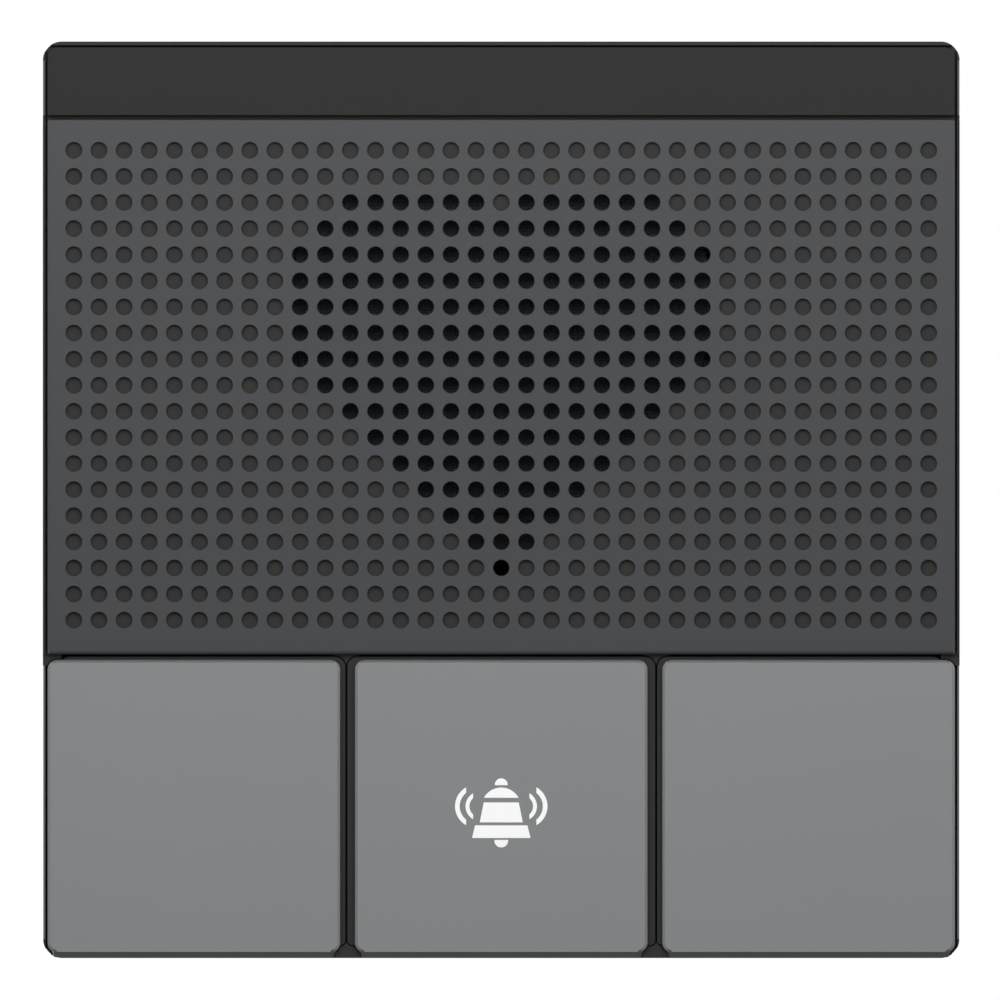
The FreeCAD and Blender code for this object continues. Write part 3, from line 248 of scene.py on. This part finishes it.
def choose(piece, kind, test):
    """Selects, in edit mode, the vertices, edges or faces that pass a test, and nothing else."""
    mode = {"verts": "VERT", "edges": "EDGE", "faces": "FACE"}[kind]
    bpy.ops.mesh.select_mode(type=mode)
    bpy.ops.mesh.select_all(action="DESELECT")
    mesh = bmesh.from_edit_mesh(piece.data)
    for element in getattr(mesh, kind):
        if test(element):
            element.select_set(True)
    mesh.select_flush_mode()
    bmesh.update_edit_mesh(piece.data)


MERGE_DISTANCE = 0.001
SEED_SIZE = 0.01


def finished(piece, finish, angle=35):
    """Leaves edit mode, shades the piece smooth up to an angle, keeps its flat faces flat
    and gives it its finish."""
    bpy.ops.mesh.select_all(action="SELECT")
    bpy.ops.mesh.remove_doubles(threshold=MERGE_DISTANCE * MM)
    bpy.ops.mesh.normals_make_consistent(inside=False)
    bpy.ops.mesh.select_all(action="DESELECT")
    bpy.ops.object.mode_set(mode="OBJECT")
    bpy.ops.object.shade_smooth_by_angle(angle=math.radians(angle))
    flat = piece.modifiers.new("flat faces stay flat", "WEIGHTED_NORMAL")
    flat.keep_sharp = True
    bpy.ops.object.modifier_apply(modifier=flat.name)
    piece.data.materials.append(finish.material)
    return piece


def turned(name, x, z, outline, finish, steps=72, angle=35):
    """Spins an outline of (radius, depth) corners about the axis of a round piece.
    An outline that starts and ends on the axis is left open there, and any other is closed."""
    piece = begin(name, x, outline[0][1], z, SEED_SIZE)
    bpy.ops.mesh.select_mode(type="VERT")
    bpy.ops.mesh.merge(type="CENTER")
    bpy.ops.transform.translate(value=(outline[0][0] * MM, 0, 0))
    for before, after in zip(outline, outline[1:]):
        step = spot(after[0], after[1], z) - spot(before[0], before[1], z)
        bpy.ops.mesh.extrude_vertices_move(TRANSFORM_OT_translate={"value": step})
    if outline[0][0] > 0:
        choose(piece, "verts", lambda vertex: len(vertex.link_edges) == 1)
        bpy.ops.mesh.edge_face_add()
    bpy.ops.mesh.select_all(action="SELECT")
    bpy.ops.mesh.spin(steps=steps, angle=2 * math.pi, center=spot(x, 0, z), axis=(0, 1, 0))
    return finished(piece, finish, angle)


WAVE_PERIOD_AT_SCALE_ONE = 0.31


def woven(name, colour, thread, depth=0.00006):
    """Cloth or mesh with threads that cross at right angles, seen from the front."""
    finish = Finish(name, sheen_weight=0.15, roughness=0.85)
    across, along = (
        finish.node("ShaderNodeTexWave", {"bands_direction": direction},
                    {"Vector": finish.place, "Scale": WAVE_PERIOD_AT_SCALE_ONE / thread, "Distortion": 0.3})
        for direction in ("X", "Z"))
    weave = across * 0.5 + along * 0.5
    finish.set("Base Color", finish.blend(weave, tint(colour, 0.5), tint(colour, 1.3)))
    finish.set("Normal", finish.relief(weave, depth))
    return finish


dress(woven("dust_mesh_cloth", (0.044, 0.050, 0.055), 0.0003), "dust_mesh")
dress(moulded("gasket_foam", (0.020, 0.020, 0.020), 0.92, grain=0.0005, depth=0.00008, specular=0.2),
      "speaker_gasket")
dress(plated_metal("speaker_steel", (0.58, 0.58, 0.56), 0.34, 0.0003),
      "speaker_frame", "speaker_pole_plate", "speaker_yoke")
dress(woven("cone_paper", (0.030, 0.030, 0.030), 0.0005), "speaker_cone", "speaker_dust_cap")
dress(plated_metal("coil_copper", (0.72, 0.30, 0.12), 0.30, 0.0002, (0.1, 4, 0.1)), "speaker_voice_coil")
dress(moulded("tag_fibre", (0.300, 0.170, 0.070), 0.70, grain=0.0006, depth=0.00001), "speaker_tag_board")
dress(moulded("lead_insulation_red", (0.450, 0.020, 0.020), 0.35, grain=0.0008),
      "speaker_leads", "microphone_leads")

rubber = moulded("black_rubber", (0.020, 0.020, 0.020), 0.62, grain=0.0003, specular=0.35)
CONE_FRONT = 4.75
CONE_BACK = 5.45
CONE_EDGE_RADIUS = 14.4
RIM_RADIUS = 17.0
ROLL_RADIUS = 15.7
ROLL_HALF_WIDTH = 1.3
ROLL_DEPTH = 5.1
ROLL_HEIGHT = 0.9
RUBBER_THICKNESS = 0.2
NARROWING_INSIDE = 0.2
roll = []
for degrees in range(0, 165, 15):
    turn = math.radians(degrees)
    roll.append((ROLL_RADIUS - ROLL_HALF_WIDTH * math.cos(turn), ROLL_DEPTH - ROLL_HEIGHT * math.sin(turn)))
lining = [(radius + (ROLL_RADIUS - radius) * NARROWING_INSIDE, depth + RUBBER_THICKNESS)
          for radius, depth in reversed(roll)]
rim = [(RIM_RADIUS, CONE_FRONT), (RIM_RADIUS, CONE_FRONT + RUBBER_THICKNESS)]
roll_foot = [(CONE_EDGE_RADIUS, CONE_BACK)]
lining_foot = [(CONE_EDGE_RADIUS + ROLL_HALF_WIDTH * NARROWING_INSIDE, CONE_BACK)]
surround = turned("surround_roll", 0, SPEAKER_Z, roll_foot + roll + rim + lining + lining_foot, rubber)
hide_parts("speaker_surround")
spot(0, CONE_BACK, SPEAKER_Z)
spot(0, CONE_FRONT, SPEAKER_Z)
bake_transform(surround)

cloth = woven("spider_cloth", (0.450, 0.330, 0.120), 0.0006, depth=0.00004)
COIL_RADIUS = 6.25
LEDGE_RADIUS = 12.8
PLEATS = 6
PLEAT_HEIGHT = 0.07
SPIDER_FRONT = 8.65
SPIDER_BACK = 9.30
SPIDER_RISE = 0.43
CLOTH_THICKNESS = 0.15
spider_front = []
for step in range(4 * PLEATS + 1):
    share = step / (4 * PLEATS)
    ripple = PLEAT_HEIGHT * math.sin(math.pi * step / 2) * (step % 2)
    radius = COIL_RADIUS + share * (LEDGE_RADIUS - COIL_RADIUS)
    spider_front.append((radius, SPIDER_FRONT + PLEAT_HEIGHT + share * SPIDER_RISE + ripple))
spider_back = [(radius, depth + CLOTH_THICKNESS) for radius, depth in reversed(spider_front)]
spider = turned("spider_pleats", 0, SPEAKER_Z, spider_front + spider_back, cloth, angle=60)
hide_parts("speaker_spider")
spot(0, SPIDER_FRONT, SPEAKER_Z)
spot(0, SPIDER_BACK, SPEAKER_Z)
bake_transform(spider)


# Microphone: aluminium can in a rubber boot, behind the point of the hole field.
# The boot is moulded and holds the can by its undercut.
dress(rubber, "microphone_boot")
dress(plated_metal("can_aluminium", (0.70, 0.70, 0.70), 0.38, 0.0002), "microphone_capsule")
MIC_Z = -6.53
FELT_OUTLINE = [(0, 4.5), (0.95, 4.5), (1.08, 4.55), (1.12, 4.66), (1.12, 4.8), (0, 4.8)]
felt = woven("black_felt", (0.010, 0.010, 0.010), 0.0002)
pad = turned("microphone_felt", 0, MIC_Z, FELT_OUTLINE, felt, steps=32)
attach(pad, "case")


# Keypad: silicone mat with a dome per key, carbon pills, and the ribbon to the main board.
KEY_Z = -29.42
KEY_PITCH = 29.505
KEYS = {"left": -KEY_PITCH, "centre": 0.0, "right": KEY_PITCH}
DOME_OUTLINE = [(0, 5.5), (3.0, 5.5), (3.15, 5.56), (3.2, 5.7), (3.2, 6.2), (3.6, 6.42), (5.2, 7.7),
                (5.45, 7.85), (5.6, 8.0), (5.6, 9.0), (4.9, 9.0), (4.9, 8.2), (4.7, 8.0), (3.1, 6.75),
                (2.9, 6.72), (2.4, 7.15), (0, 7.15)]
DOME_HEAD_END = 7.16
DOME_FOOT_START = 8.2
silicone = moulded("grey_silicone", (0.55, 0.56, 0.57), 0.50, grain=0.0006)
silicone.set("Subsurface Weight", 0.2)
silicone.set("Subsurface Radius", (0.001, 0.001, 0.001))
dress(silicone, "keypad_mat")
dress(moulded("carbon_pill", (0.015, 0.015, 0.015), 0.55, grain=0.0003),
      "left_contact_pill", "centre_contact_pill", "right_contact_pill")
dress(moulded("ribbon_film", (0.75, 0.76, 0.78), 0.30, grain=0.001), "ribbon_cable")
for name, x in KEYS.items():
    dome = turned(name + "_dome_moulding", x, KEY_Z, DOME_OUTLINE, silicone)
    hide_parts(name + "_dome")
    spot(x, DOME_HEAD_END, KEY_Z)
    spot(x, DOME_FOOT_START, KEY_Z)
    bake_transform(dome)


# Key carriers: charcoal mouldings whose flanges show as a narrow dark border beside the caps.
# They are moulded with the skirt, the hooks and the plunger in one piece.
dress(moulded("charcoal_carrier", CHARCOAL, 0.50, specular=CHARCOAL_GLOSS),
      "left_key_carrier", "centre_key_carrier", "right_key_carrier")


# Key caps: grey mouldings with round corners, chamfered edges and a steep slope along the top edge.
# The face is matt and flat. What faces down, as the lower lip does, is rougher and has painted shade: its
# colour is darkened.
# The pocket behind fits over the carrier's pad.
KEY_GREY = (0.190, 0.198, 0.201)
UNDERSIDE_PAINTED_SHADE = 0.50
UNDERSIDE_ROUGHENING = 0.33
UNDERSIDE_START = 0.5
UNDERSIDE_END = 0.8
key_plastic = moulded("key_grey_matt", KEY_GREY, 0.46, grain=0.0003, depth=0.000003, specular=0.35,
                      clouds=0.012)
facing = key_plastic.node("ShaderNodeNewGeometry", output="True Normal")
facing_up = key_plastic.node("ShaderNodeSeparateXYZ", None, {0: facing}, output="Z")
# Painted shade: the colour is darkened where the surface faces down, as if in shadow. The same mask also
# makes it rougher.
underside_shade_and_roughness = key_plastic.band(facing_up * -1, UNDERSIDE_START, UNDERSIDE_END)
key_plastic.set("Base Color", key_plastic.blend(underside_shade_and_roughness, key_plastic.fed("Base Color"),
                                                tint(KEY_GREY, UNDERSIDE_PAINTED_SHADE)))
key_plastic.set("Roughness", key_plastic.fed("Roughness") + underside_shade_and_roughness * UNDERSIDE_ROUGHENING)
KEY_SIZE = 28.07
KEY_LOW = -43.455
KEY_TOP = -15.36
KEY_CORNER = 0.95
KEY_FACE = 0.05
KEY_EDGE = 0.25
LOW_EDGE = 0.08
TOP_SLOPE_END = 0.75
CAP_BACK = 1.8
LIP_KNEE = 1.6
LIP_LOW = -43.93
POCKET_SIZE = 25.6
POCKET_FRONT = 1.2
EDGE_REACH = 0.12
NEAR = 0.01
SAME_PLANE = 0.002


def at_depth(depth):
    """Test for what lies wholly in the plane at one depth."""
    plane = (FRONT_Y + depth) * MM

    def test(element):
        corners = [element] if isinstance(element, bmesh.types.BMVert) else element.verts
        return all(abs(vertex.co.y - plane) < SAME_PLANE * MM for vertex in corners)
    return test


def on_rim_at(depth):
    """Test for the edges at one depth with a face that goes back from there."""
    flat = at_depth(depth)

    def test(edge):
        return flat(edge) and any(not flat(face) for face in edge.link_faces)
    return test


def extrude_back(distance):
    """Extrudes the selection that far back, or forward where the distance is negative."""
    bpy.ops.mesh.extrude_region_move(TRANSFORM_OT_translate={"value": (0, distance * MM, 0)})


def key_cap(name, x):
    """A plane is drawn forward to the face, its edges are shaped, and its back is sunk into the pocket."""
    middle = (KEY_LOW + KEY_TOP) / 2
    cap = begin(name + "_cap_moulding", x, CAP_BACK, middle, KEY_SIZE)
    bpy.ops.transform.resize(value=(1, 1, (KEY_TOP - KEY_LOW) / KEY_SIZE),
                             center_override=spot(x, CAP_BACK, middle))
    bpy.ops.mesh.bevel(affect="VERTICES", offset=KEY_CORNER * MM, segments=8)
    extrude_back(KEY_FACE - CAP_BACK)
    choose(cap, "edges", on_rim_at(KEY_FACE))
    bpy.ops.mesh.bevel(affect="EDGES", offset=KEY_EDGE * MM, segments=1)
    straight = (KEY_SIZE / 2 - KEY_CORNER + NEAR) * MM
    bevelled = (KEY_LOW + KEY_EDGE + NEAR) * MM
    choose(cap, "verts", lambda vertex: vertex.co.z < bevelled and abs(vertex.co.x - x * MM) < straight)
    bpy.ops.transform.resize(value=(1, 1, LOW_EDGE / KEY_EDGE), center_override=spot(x, 0, KEY_LOW))
    high = (KEY_TOP - EDGE_REACH) * MM
    foot = at_depth(KEY_FACE + KEY_EDGE)
    choose(cap, "verts", lambda vertex: vertex.co.z > high and foot(vertex))
    bpy.ops.transform.translate(value=(0, (TOP_SLOPE_END - KEY_FACE - KEY_EDGE) * MM, 0))
    bpy.ops.mesh.select_all(action="SELECT")
    bpy.ops.mesh.bisect(plane_co=spot(x, LIP_KNEE, middle), plane_no=(0, 1, 0))
    knee = (FRONT_Y + LIP_KNEE - NEAR) * MM
    low = (KEY_LOW + EDGE_REACH) * MM
    choose(cap, "verts", lambda vertex: vertex.co.y > knee and vertex.co.z < low)
    bpy.ops.transform.translate(value=(0, 0, (LIP_LOW - KEY_LOW) * MM))
    choose(cap, "faces", at_depth(CAP_BACK))
    bpy.ops.mesh.inset(thickness=(KEY_SIZE - POCKET_SIZE) / 2 * MM)
    extrude_back(POCKET_FRONT - CAP_BACK)
    return finished(cap, key_plastic, angle=40)


for name, x in KEYS.items():
    cap = key_cap(name, x)
    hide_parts(name + "_key_cap")
    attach(cap, name + "_key")


# Bell symbol: white ink, pad-printed on the centre key.
# The ink lies on the cap's face as a thin, even film.
dress(moulded("white_ink", (0.90, 0.90, 0.90), 0.42, grain=0.0004, clouds=0.01), "bell_symbol")


# Grille panel: aluminium sheet with a fine dark grey coat, on a frame of adhesive film.
# It is pierced with 35 by 19 holes. The front edges of the holes and of the sheet are slightly broken,
# and the sheet's lower edge is rolled back.
COLUMNS = 35
ROWS = 19
COLUMN_PITCH = 2.413
ROW_PITCH = 2.505
FIRST_ROW_Z = 33.55
HOLE_RADIUS = 0.79
HOLE_EDGE = 0.04
PANEL_HALF = 43.54
PANEL_TOP = 36.46
PANEL_BOTTOM = -14.83
PANEL_THICKNESS = 0.4
PANEL_EDGE = 0.05
ROLLED_EDGE = 0.38
PANEL_CORNER = 0.25
MARGIN = 1.0
SIDES_OF_A_HOLE = 20
PANEL_GREY = (0.0276, 0.0303, 0.0340)
dress(moulded("film_clear", (0.05, 0.05, 0.05), 0.4, grain=0.001), "panel_adhesive_film")


def coated_sheet():
    """Matt powder coat on sheet metal: a fine even grain with a faint cloudiness."""
    finish = Finish("panel_coat", specular_ior_level=0.35)
    cloud = finish.noise(0.02)
    grain = finish.noise(0.0003)
    colour = finish.blend(cloud, tint(PANEL_GREY, 0.985), tint(PANEL_GREY, 1.015))
    finish.set("Base Color", finish.blend(grain * 0.10, colour, tint(PANEL_GREY, 1.3)))
    finish.set("Roughness", 0.44 + (grain - 0.5) * 0.12)
    finish.set("Normal", finish.relief(grain, 0.000004))
    return finish


def hole_cell():
    """The sheet round the first hole: a rectangle with a round hole and few faces between them."""
    centre = spot(-(COLUMNS - 1) / 2 * COLUMN_PITCH, 0, FIRST_ROW_Z)
    cell = begin("grille_sheet", centre.x / MM, 0, FIRST_ROW_Z, 1)
    bpy.ops.transform.resize(value=(COLUMN_PITCH, 1, ROW_PITCH), center_override=centre)
    bpy.ops.mesh.delete(type="ONLY_FACE")
    bpy.ops.mesh.primitive_circle_add(vertices=SIDES_OF_A_HOLE, radius=HOLE_RADIUS * MM, location=centre,
                                      rotation=(math.pi / 2, 0, 0))
    bpy.ops.mesh.select_all(action="SELECT")
    bpy.ops.mesh.bridge_edge_loops()
    outside = 1.1 * HOLE_RADIUS * MM
    off_axis = 0.1 * HOLE_RADIUS * MM

    def is_spoke(edge):
        near, far = sorted((vertex.co - centre for vertex in edge.verts), key=lambda place: place.length)
        return near.length < outside < far.length and min(abs(near.x), abs(near.z)) > off_axis
    choose(cell, "edges", is_spoke)
    bpy.ops.mesh.dissolve_edges(use_verts=False)
    bpy.ops.object.mode_set(mode="OBJECT")
    return cell


def repeat(piece, count, step):
    """Copies a piece along a step and joins what meets."""
    row = piece.modifiers.new("repeat", "ARRAY")
    row.count = count
    row.use_relative_offset = False
    row.use_constant_offset = True
    row.constant_offset_displace = [length * MM for length in step]
    row.use_merge_vertices = True
    row.merge_threshold = NEAR * MM
    bpy.ops.object.modifier_apply(modifier=row.name)


def widen(piece, axis, limit):
    """Extends a flat sheet from its edge on one side to a limit."""
    line = max((vertex.co[axis] for vertex in bmesh.from_edit_mesh(piece.data).verts),
               key=lambda place: place * math.copysign(1, limit - place))
    choose(piece, "edges",
           lambda edge: all(abs(vertex.co[axis] - line) < NEAR * MM for vertex in edge.verts))
    step = [0, 0, 0]
    step[axis] = limit - line
    bpy.ops.mesh.extrude_region_move(TRANSFORM_OT_translate={"value": step})


def grille_panel(finish):
    """One hole's cell is repeated into the field, which then gets its margins, its corners,
    its thickness and its edges."""
    panel = hole_cell()
    repeat(panel, COLUMNS, (COLUMN_PITCH, 0, 0))
    repeat(panel, ROWS, (0, 0, -ROW_PITCH))
    bpy.ops.object.mode_set(mode="EDIT")
    for axis, limit in ((0, -PANEL_HALF), (0, PANEL_HALF), (2, PANEL_TOP), (2, PANEL_BOTTOM)):
        widen(panel, axis, limit * MM)
    side = (PANEL_HALF - NEAR) * MM
    top = (PANEL_TOP - NEAR) * MM
    bottom = (PANEL_BOTTOM + NEAR) * MM
    choose(panel, "verts", lambda vertex: abs(vertex.co.x) > side and not bottom < vertex.co.z < top)
    bpy.ops.mesh.bevel(affect="VERTICES", offset=PANEL_CORNER * MM, segments=4)
    bpy.ops.mesh.select_all(action="SELECT")
    extrude_back(PANEL_THICKNESS)
    field_side = (PANEL_HALF - MARGIN) * MM
    field_top = (PANEL_TOP - MARGIN) * MM
    field_bottom = (PANEL_BOTTOM + MARGIN) * MM

    def is_outside(edge):
        return any(abs(vertex.co.x) > field_side or not field_bottom < vertex.co.z < field_top
                   for vertex in edge.verts)
    front = on_rim_at(0)
    choose(panel, "edges", lambda edge: front(edge) and is_outside(edge))
    bpy.ops.mesh.bevel(affect="EDGES", offset=PANEL_EDGE * MM, segments=3)
    straight = (PANEL_HALF - PANEL_CORNER + NEAR) * MM
    low = (PANEL_BOTTOM + PANEL_EDGE + NEAR) * MM
    shallow = (FRONT_Y + PANEL_EDGE + NEAR) * MM
    choose(panel, "verts",
           lambda vertex: abs(vertex.co.x) < straight and vertex.co.z < low and vertex.co.y < shallow)
    roll = ROLLED_EDGE / PANEL_EDGE
    bpy.ops.transform.resize(value=(1, roll, roll), center_override=spot(0, 0, PANEL_BOTTOM))
    choose(panel, "edges", lambda edge: front(edge) and not is_outside(edge))
    bpy.ops.mesh.bevel(affect="EDGES", offset=HOLE_EDGE * MM, segments=1)
    return finished(panel, finish, angle=40)


panel = grille_panel(coated_sheet())
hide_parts("grille_panel")
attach(panel, "case")


# Header trim: charcoal bar above the panel, with heat-staked studs behind.
# It is a separate moulding with a satin face and rounded edges; its face is bare.
HEADER_BOTTOM = 36.91
HEADER_TOP = 43.43
HEADER_THICKNESS = 1.6
HEADER_EDGE = 0.06
HEADER_CORNER = 1.0
HEADER_MIDDLE = (HEADER_BOTTOM + HEADER_TOP) / 2
header_plastic = moulded("charcoal_header", tint(CHARCOAL, 1.08), 0.42, specular=0.08)
header = begin("header_bar", 0, HEADER_THICKNESS, HEADER_MIDDLE, 1)
bpy.ops.transform.resize(value=(2 * PANEL_HALF, 1, HEADER_TOP - HEADER_BOTTOM),
                         center_override=spot(0, 0, HEADER_MIDDLE))
choose(header, "verts", lambda vertex: vertex.co.z > (HEADER_TOP - NEAR) * MM)
bpy.ops.mesh.bevel(affect="VERTICES", offset=HEADER_CORNER * MM, segments=8)
bpy.ops.mesh.select_all(action="SELECT")
extrude_back(-HEADER_THICKNESS)
choose(header, "edges", on_rim_at(0))
bpy.ops.mesh.bevel(affect="EDGES", offset=HEADER_EDGE * MM, segments=4)
finished(header, header_plastic, angle=40)
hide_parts("header_trim")
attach(header, "case")
STUD_Z = 40.2
STUDS_X = (-32, -11, 11, 32)
STUD_OUTLINE = [(0, HEADER_THICKNESS), (0.6, HEADER_THICKNESS), (0.6, 2.8), (0.84, 2.82), (0.9, 2.95),
                (0.86, 3.2), (0.62, 3.36), (0, 3.4)]
for number, stud_x in enumerate(STUDS_X, start=1):
    stud = turned(f"header_stud_{number}", stud_x, STUD_Z, STUD_OUTLINE, header_plastic, steps=24)
    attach(stud, "case")


# Floor and light: a pale floor below, two soft lamps above the front and one at each side.
# The background is white where the camera or a reflection sees it, and the floor fades into it.
def soft_lamp(name, place, width, height, power):
    light = bpy.data.lights.new(name, "AREA")
    light.shape = "RECTANGLE"
    light.size = width
    light.size_y = height
    light.energy = power
    lamp = bpy.data.objects.new(name, light)
    lamp.location = place
    lamp.rotation_euler = (Vector((0, FRONT_Y * MM, 0)) - Vector(place)).to_track_quat("-Z", "Y").to_euler()
    lamp.visible_camera = False
    bpy.context.scene.collection.objects.link(lamp)


soft_lamp("lamp_above", (0, -0.186, 0.110), 0.30, 0.05, 0.19)
soft_lamp("lamp_front", (0, -0.30, 0.11), 0.40, 0.10, 0.39)
soft_lamp("lamp_left", (-0.60, -0.45, 0.05), 0.30, 0.60, 0.25)
soft_lamp("lamp_right", (0.60, -0.45, 0.05), 0.30, 0.60, 0.25)


def where_seen(tree):
    """A socket that is 1 for rays from the camera, from a reflection or through glass, and 0 for light."""
    path = tree.nodes.new("ShaderNodeLightPath")
    seen = path.outputs["Is Camera Ray"]
    for ray in ("Is Glossy Ray", "Is Transmission Ray"):
        either = tree.nodes.new("ShaderNodeMath")
        either.operation = "MAXIMUM"
        tree.links.new(seen, either.inputs[0])
        tree.links.new(path.outputs[ray], either.inputs[1])
        seen = either.outputs[0]
    return seen


FLOOR_WHITE = 0.75
FLOOR_GREY = (0.30, 0.30, 0.30)
FLOOR_RADIUS = 1.6
FLOOR_Z = -0.30
FADE_START = 0.5
FADE_END = 1.5
bpy.ops.object.select_all(action="DESELECT")
bpy.ops.mesh.primitive_circle_add(vertices=96, radius=FLOOR_RADIUS, fill_type="NGON", location=(0, 0, 0))
floor = bpy.context.object
floor.name = "floor"
floor.location.z = FLOOR_Z
bpy.ops.object.transform_apply(location=True, rotation=True, scale=True)
floor_paint = Finish("floor_paint", roughness=0.9)
floor_paint.set("Base Color", FLOOR_GREY)
seen = Shade(floor_paint, where_seen(floor_paint.tree))
glow = floor_paint.node("ShaderNodeEmission", None, {"Color": (1, 1, 1)})
distance = floor_paint.node("ShaderNodeVectorMath", {"operation": "LENGTH"}, {0: floor_paint.place},
                            output="Value")
white = floor_paint.band(distance, FADE_START, FADE_END) * (1 - FLOOR_WHITE) + FLOOR_WHITE
lit = Shade(floor_paint, floor_paint.shader.outputs["BSDF"])
mixed = floor_paint.node("ShaderNodeMixShader", None, {0: seen * white, 1: lit, 2: glow})
floor_paint.feed(floor_paint.tree.nodes["Material Output"].inputs["Surface"], mixed)
floor.data.materials.append(floor_paint.material)

AMBIENT = 0.55
world = bpy.data.worlds.new("studio")
bpy.context.scene.world = world
world.use_nodes = True
background = world.node_tree.nodes["Background"]
background.inputs["Color"].default_value = (1, 1, 1, 1)
level = world.node_tree.nodes.new("ShaderNodeMapRange")
level.inputs["To Min"].default_value = AMBIENT
level.inputs["To Max"].default_value = 1.0
world.node_tree.links.new(where_seen(world.node_tree), level.inputs["Value"])
world.node_tree.links.new(level.outputs["Result"], background.inputs["Strength"])


# Camera: straight in front and four metres away, with a very long lens, because the photograph
# shows no perspective.
PICTURE_WIDTH = 0.09597
CAMERA_X = -0.000120
CAMERA_Z = -0.000008
CAMERA_DISTANCE = 4.0
SENSOR_WIDTH = 36.0
camera_data = bpy.data.cameras.new("camera")
camera_data.sensor_width = SENSOR_WIDTH
camera_data.lens = SENSOR_WIDTH * CAMERA_DISTANCE / PICTURE_WIDTH
camera_data.clip_end = 100.0
camera = bpy.data.objects.new("camera", camera_data)
camera.location = (CAMERA_X, FRONT_Y * MM - CAMERA_DISTANCE, CAMERA_Z)
camera.rotation_euler = (math.pi / 2, 0, 0)
bpy.context.scene.collection.objects.link(camera)
bpy.context.scene.camera = camera
bpy.context.scene.view_settings.view_transform = "Standard"
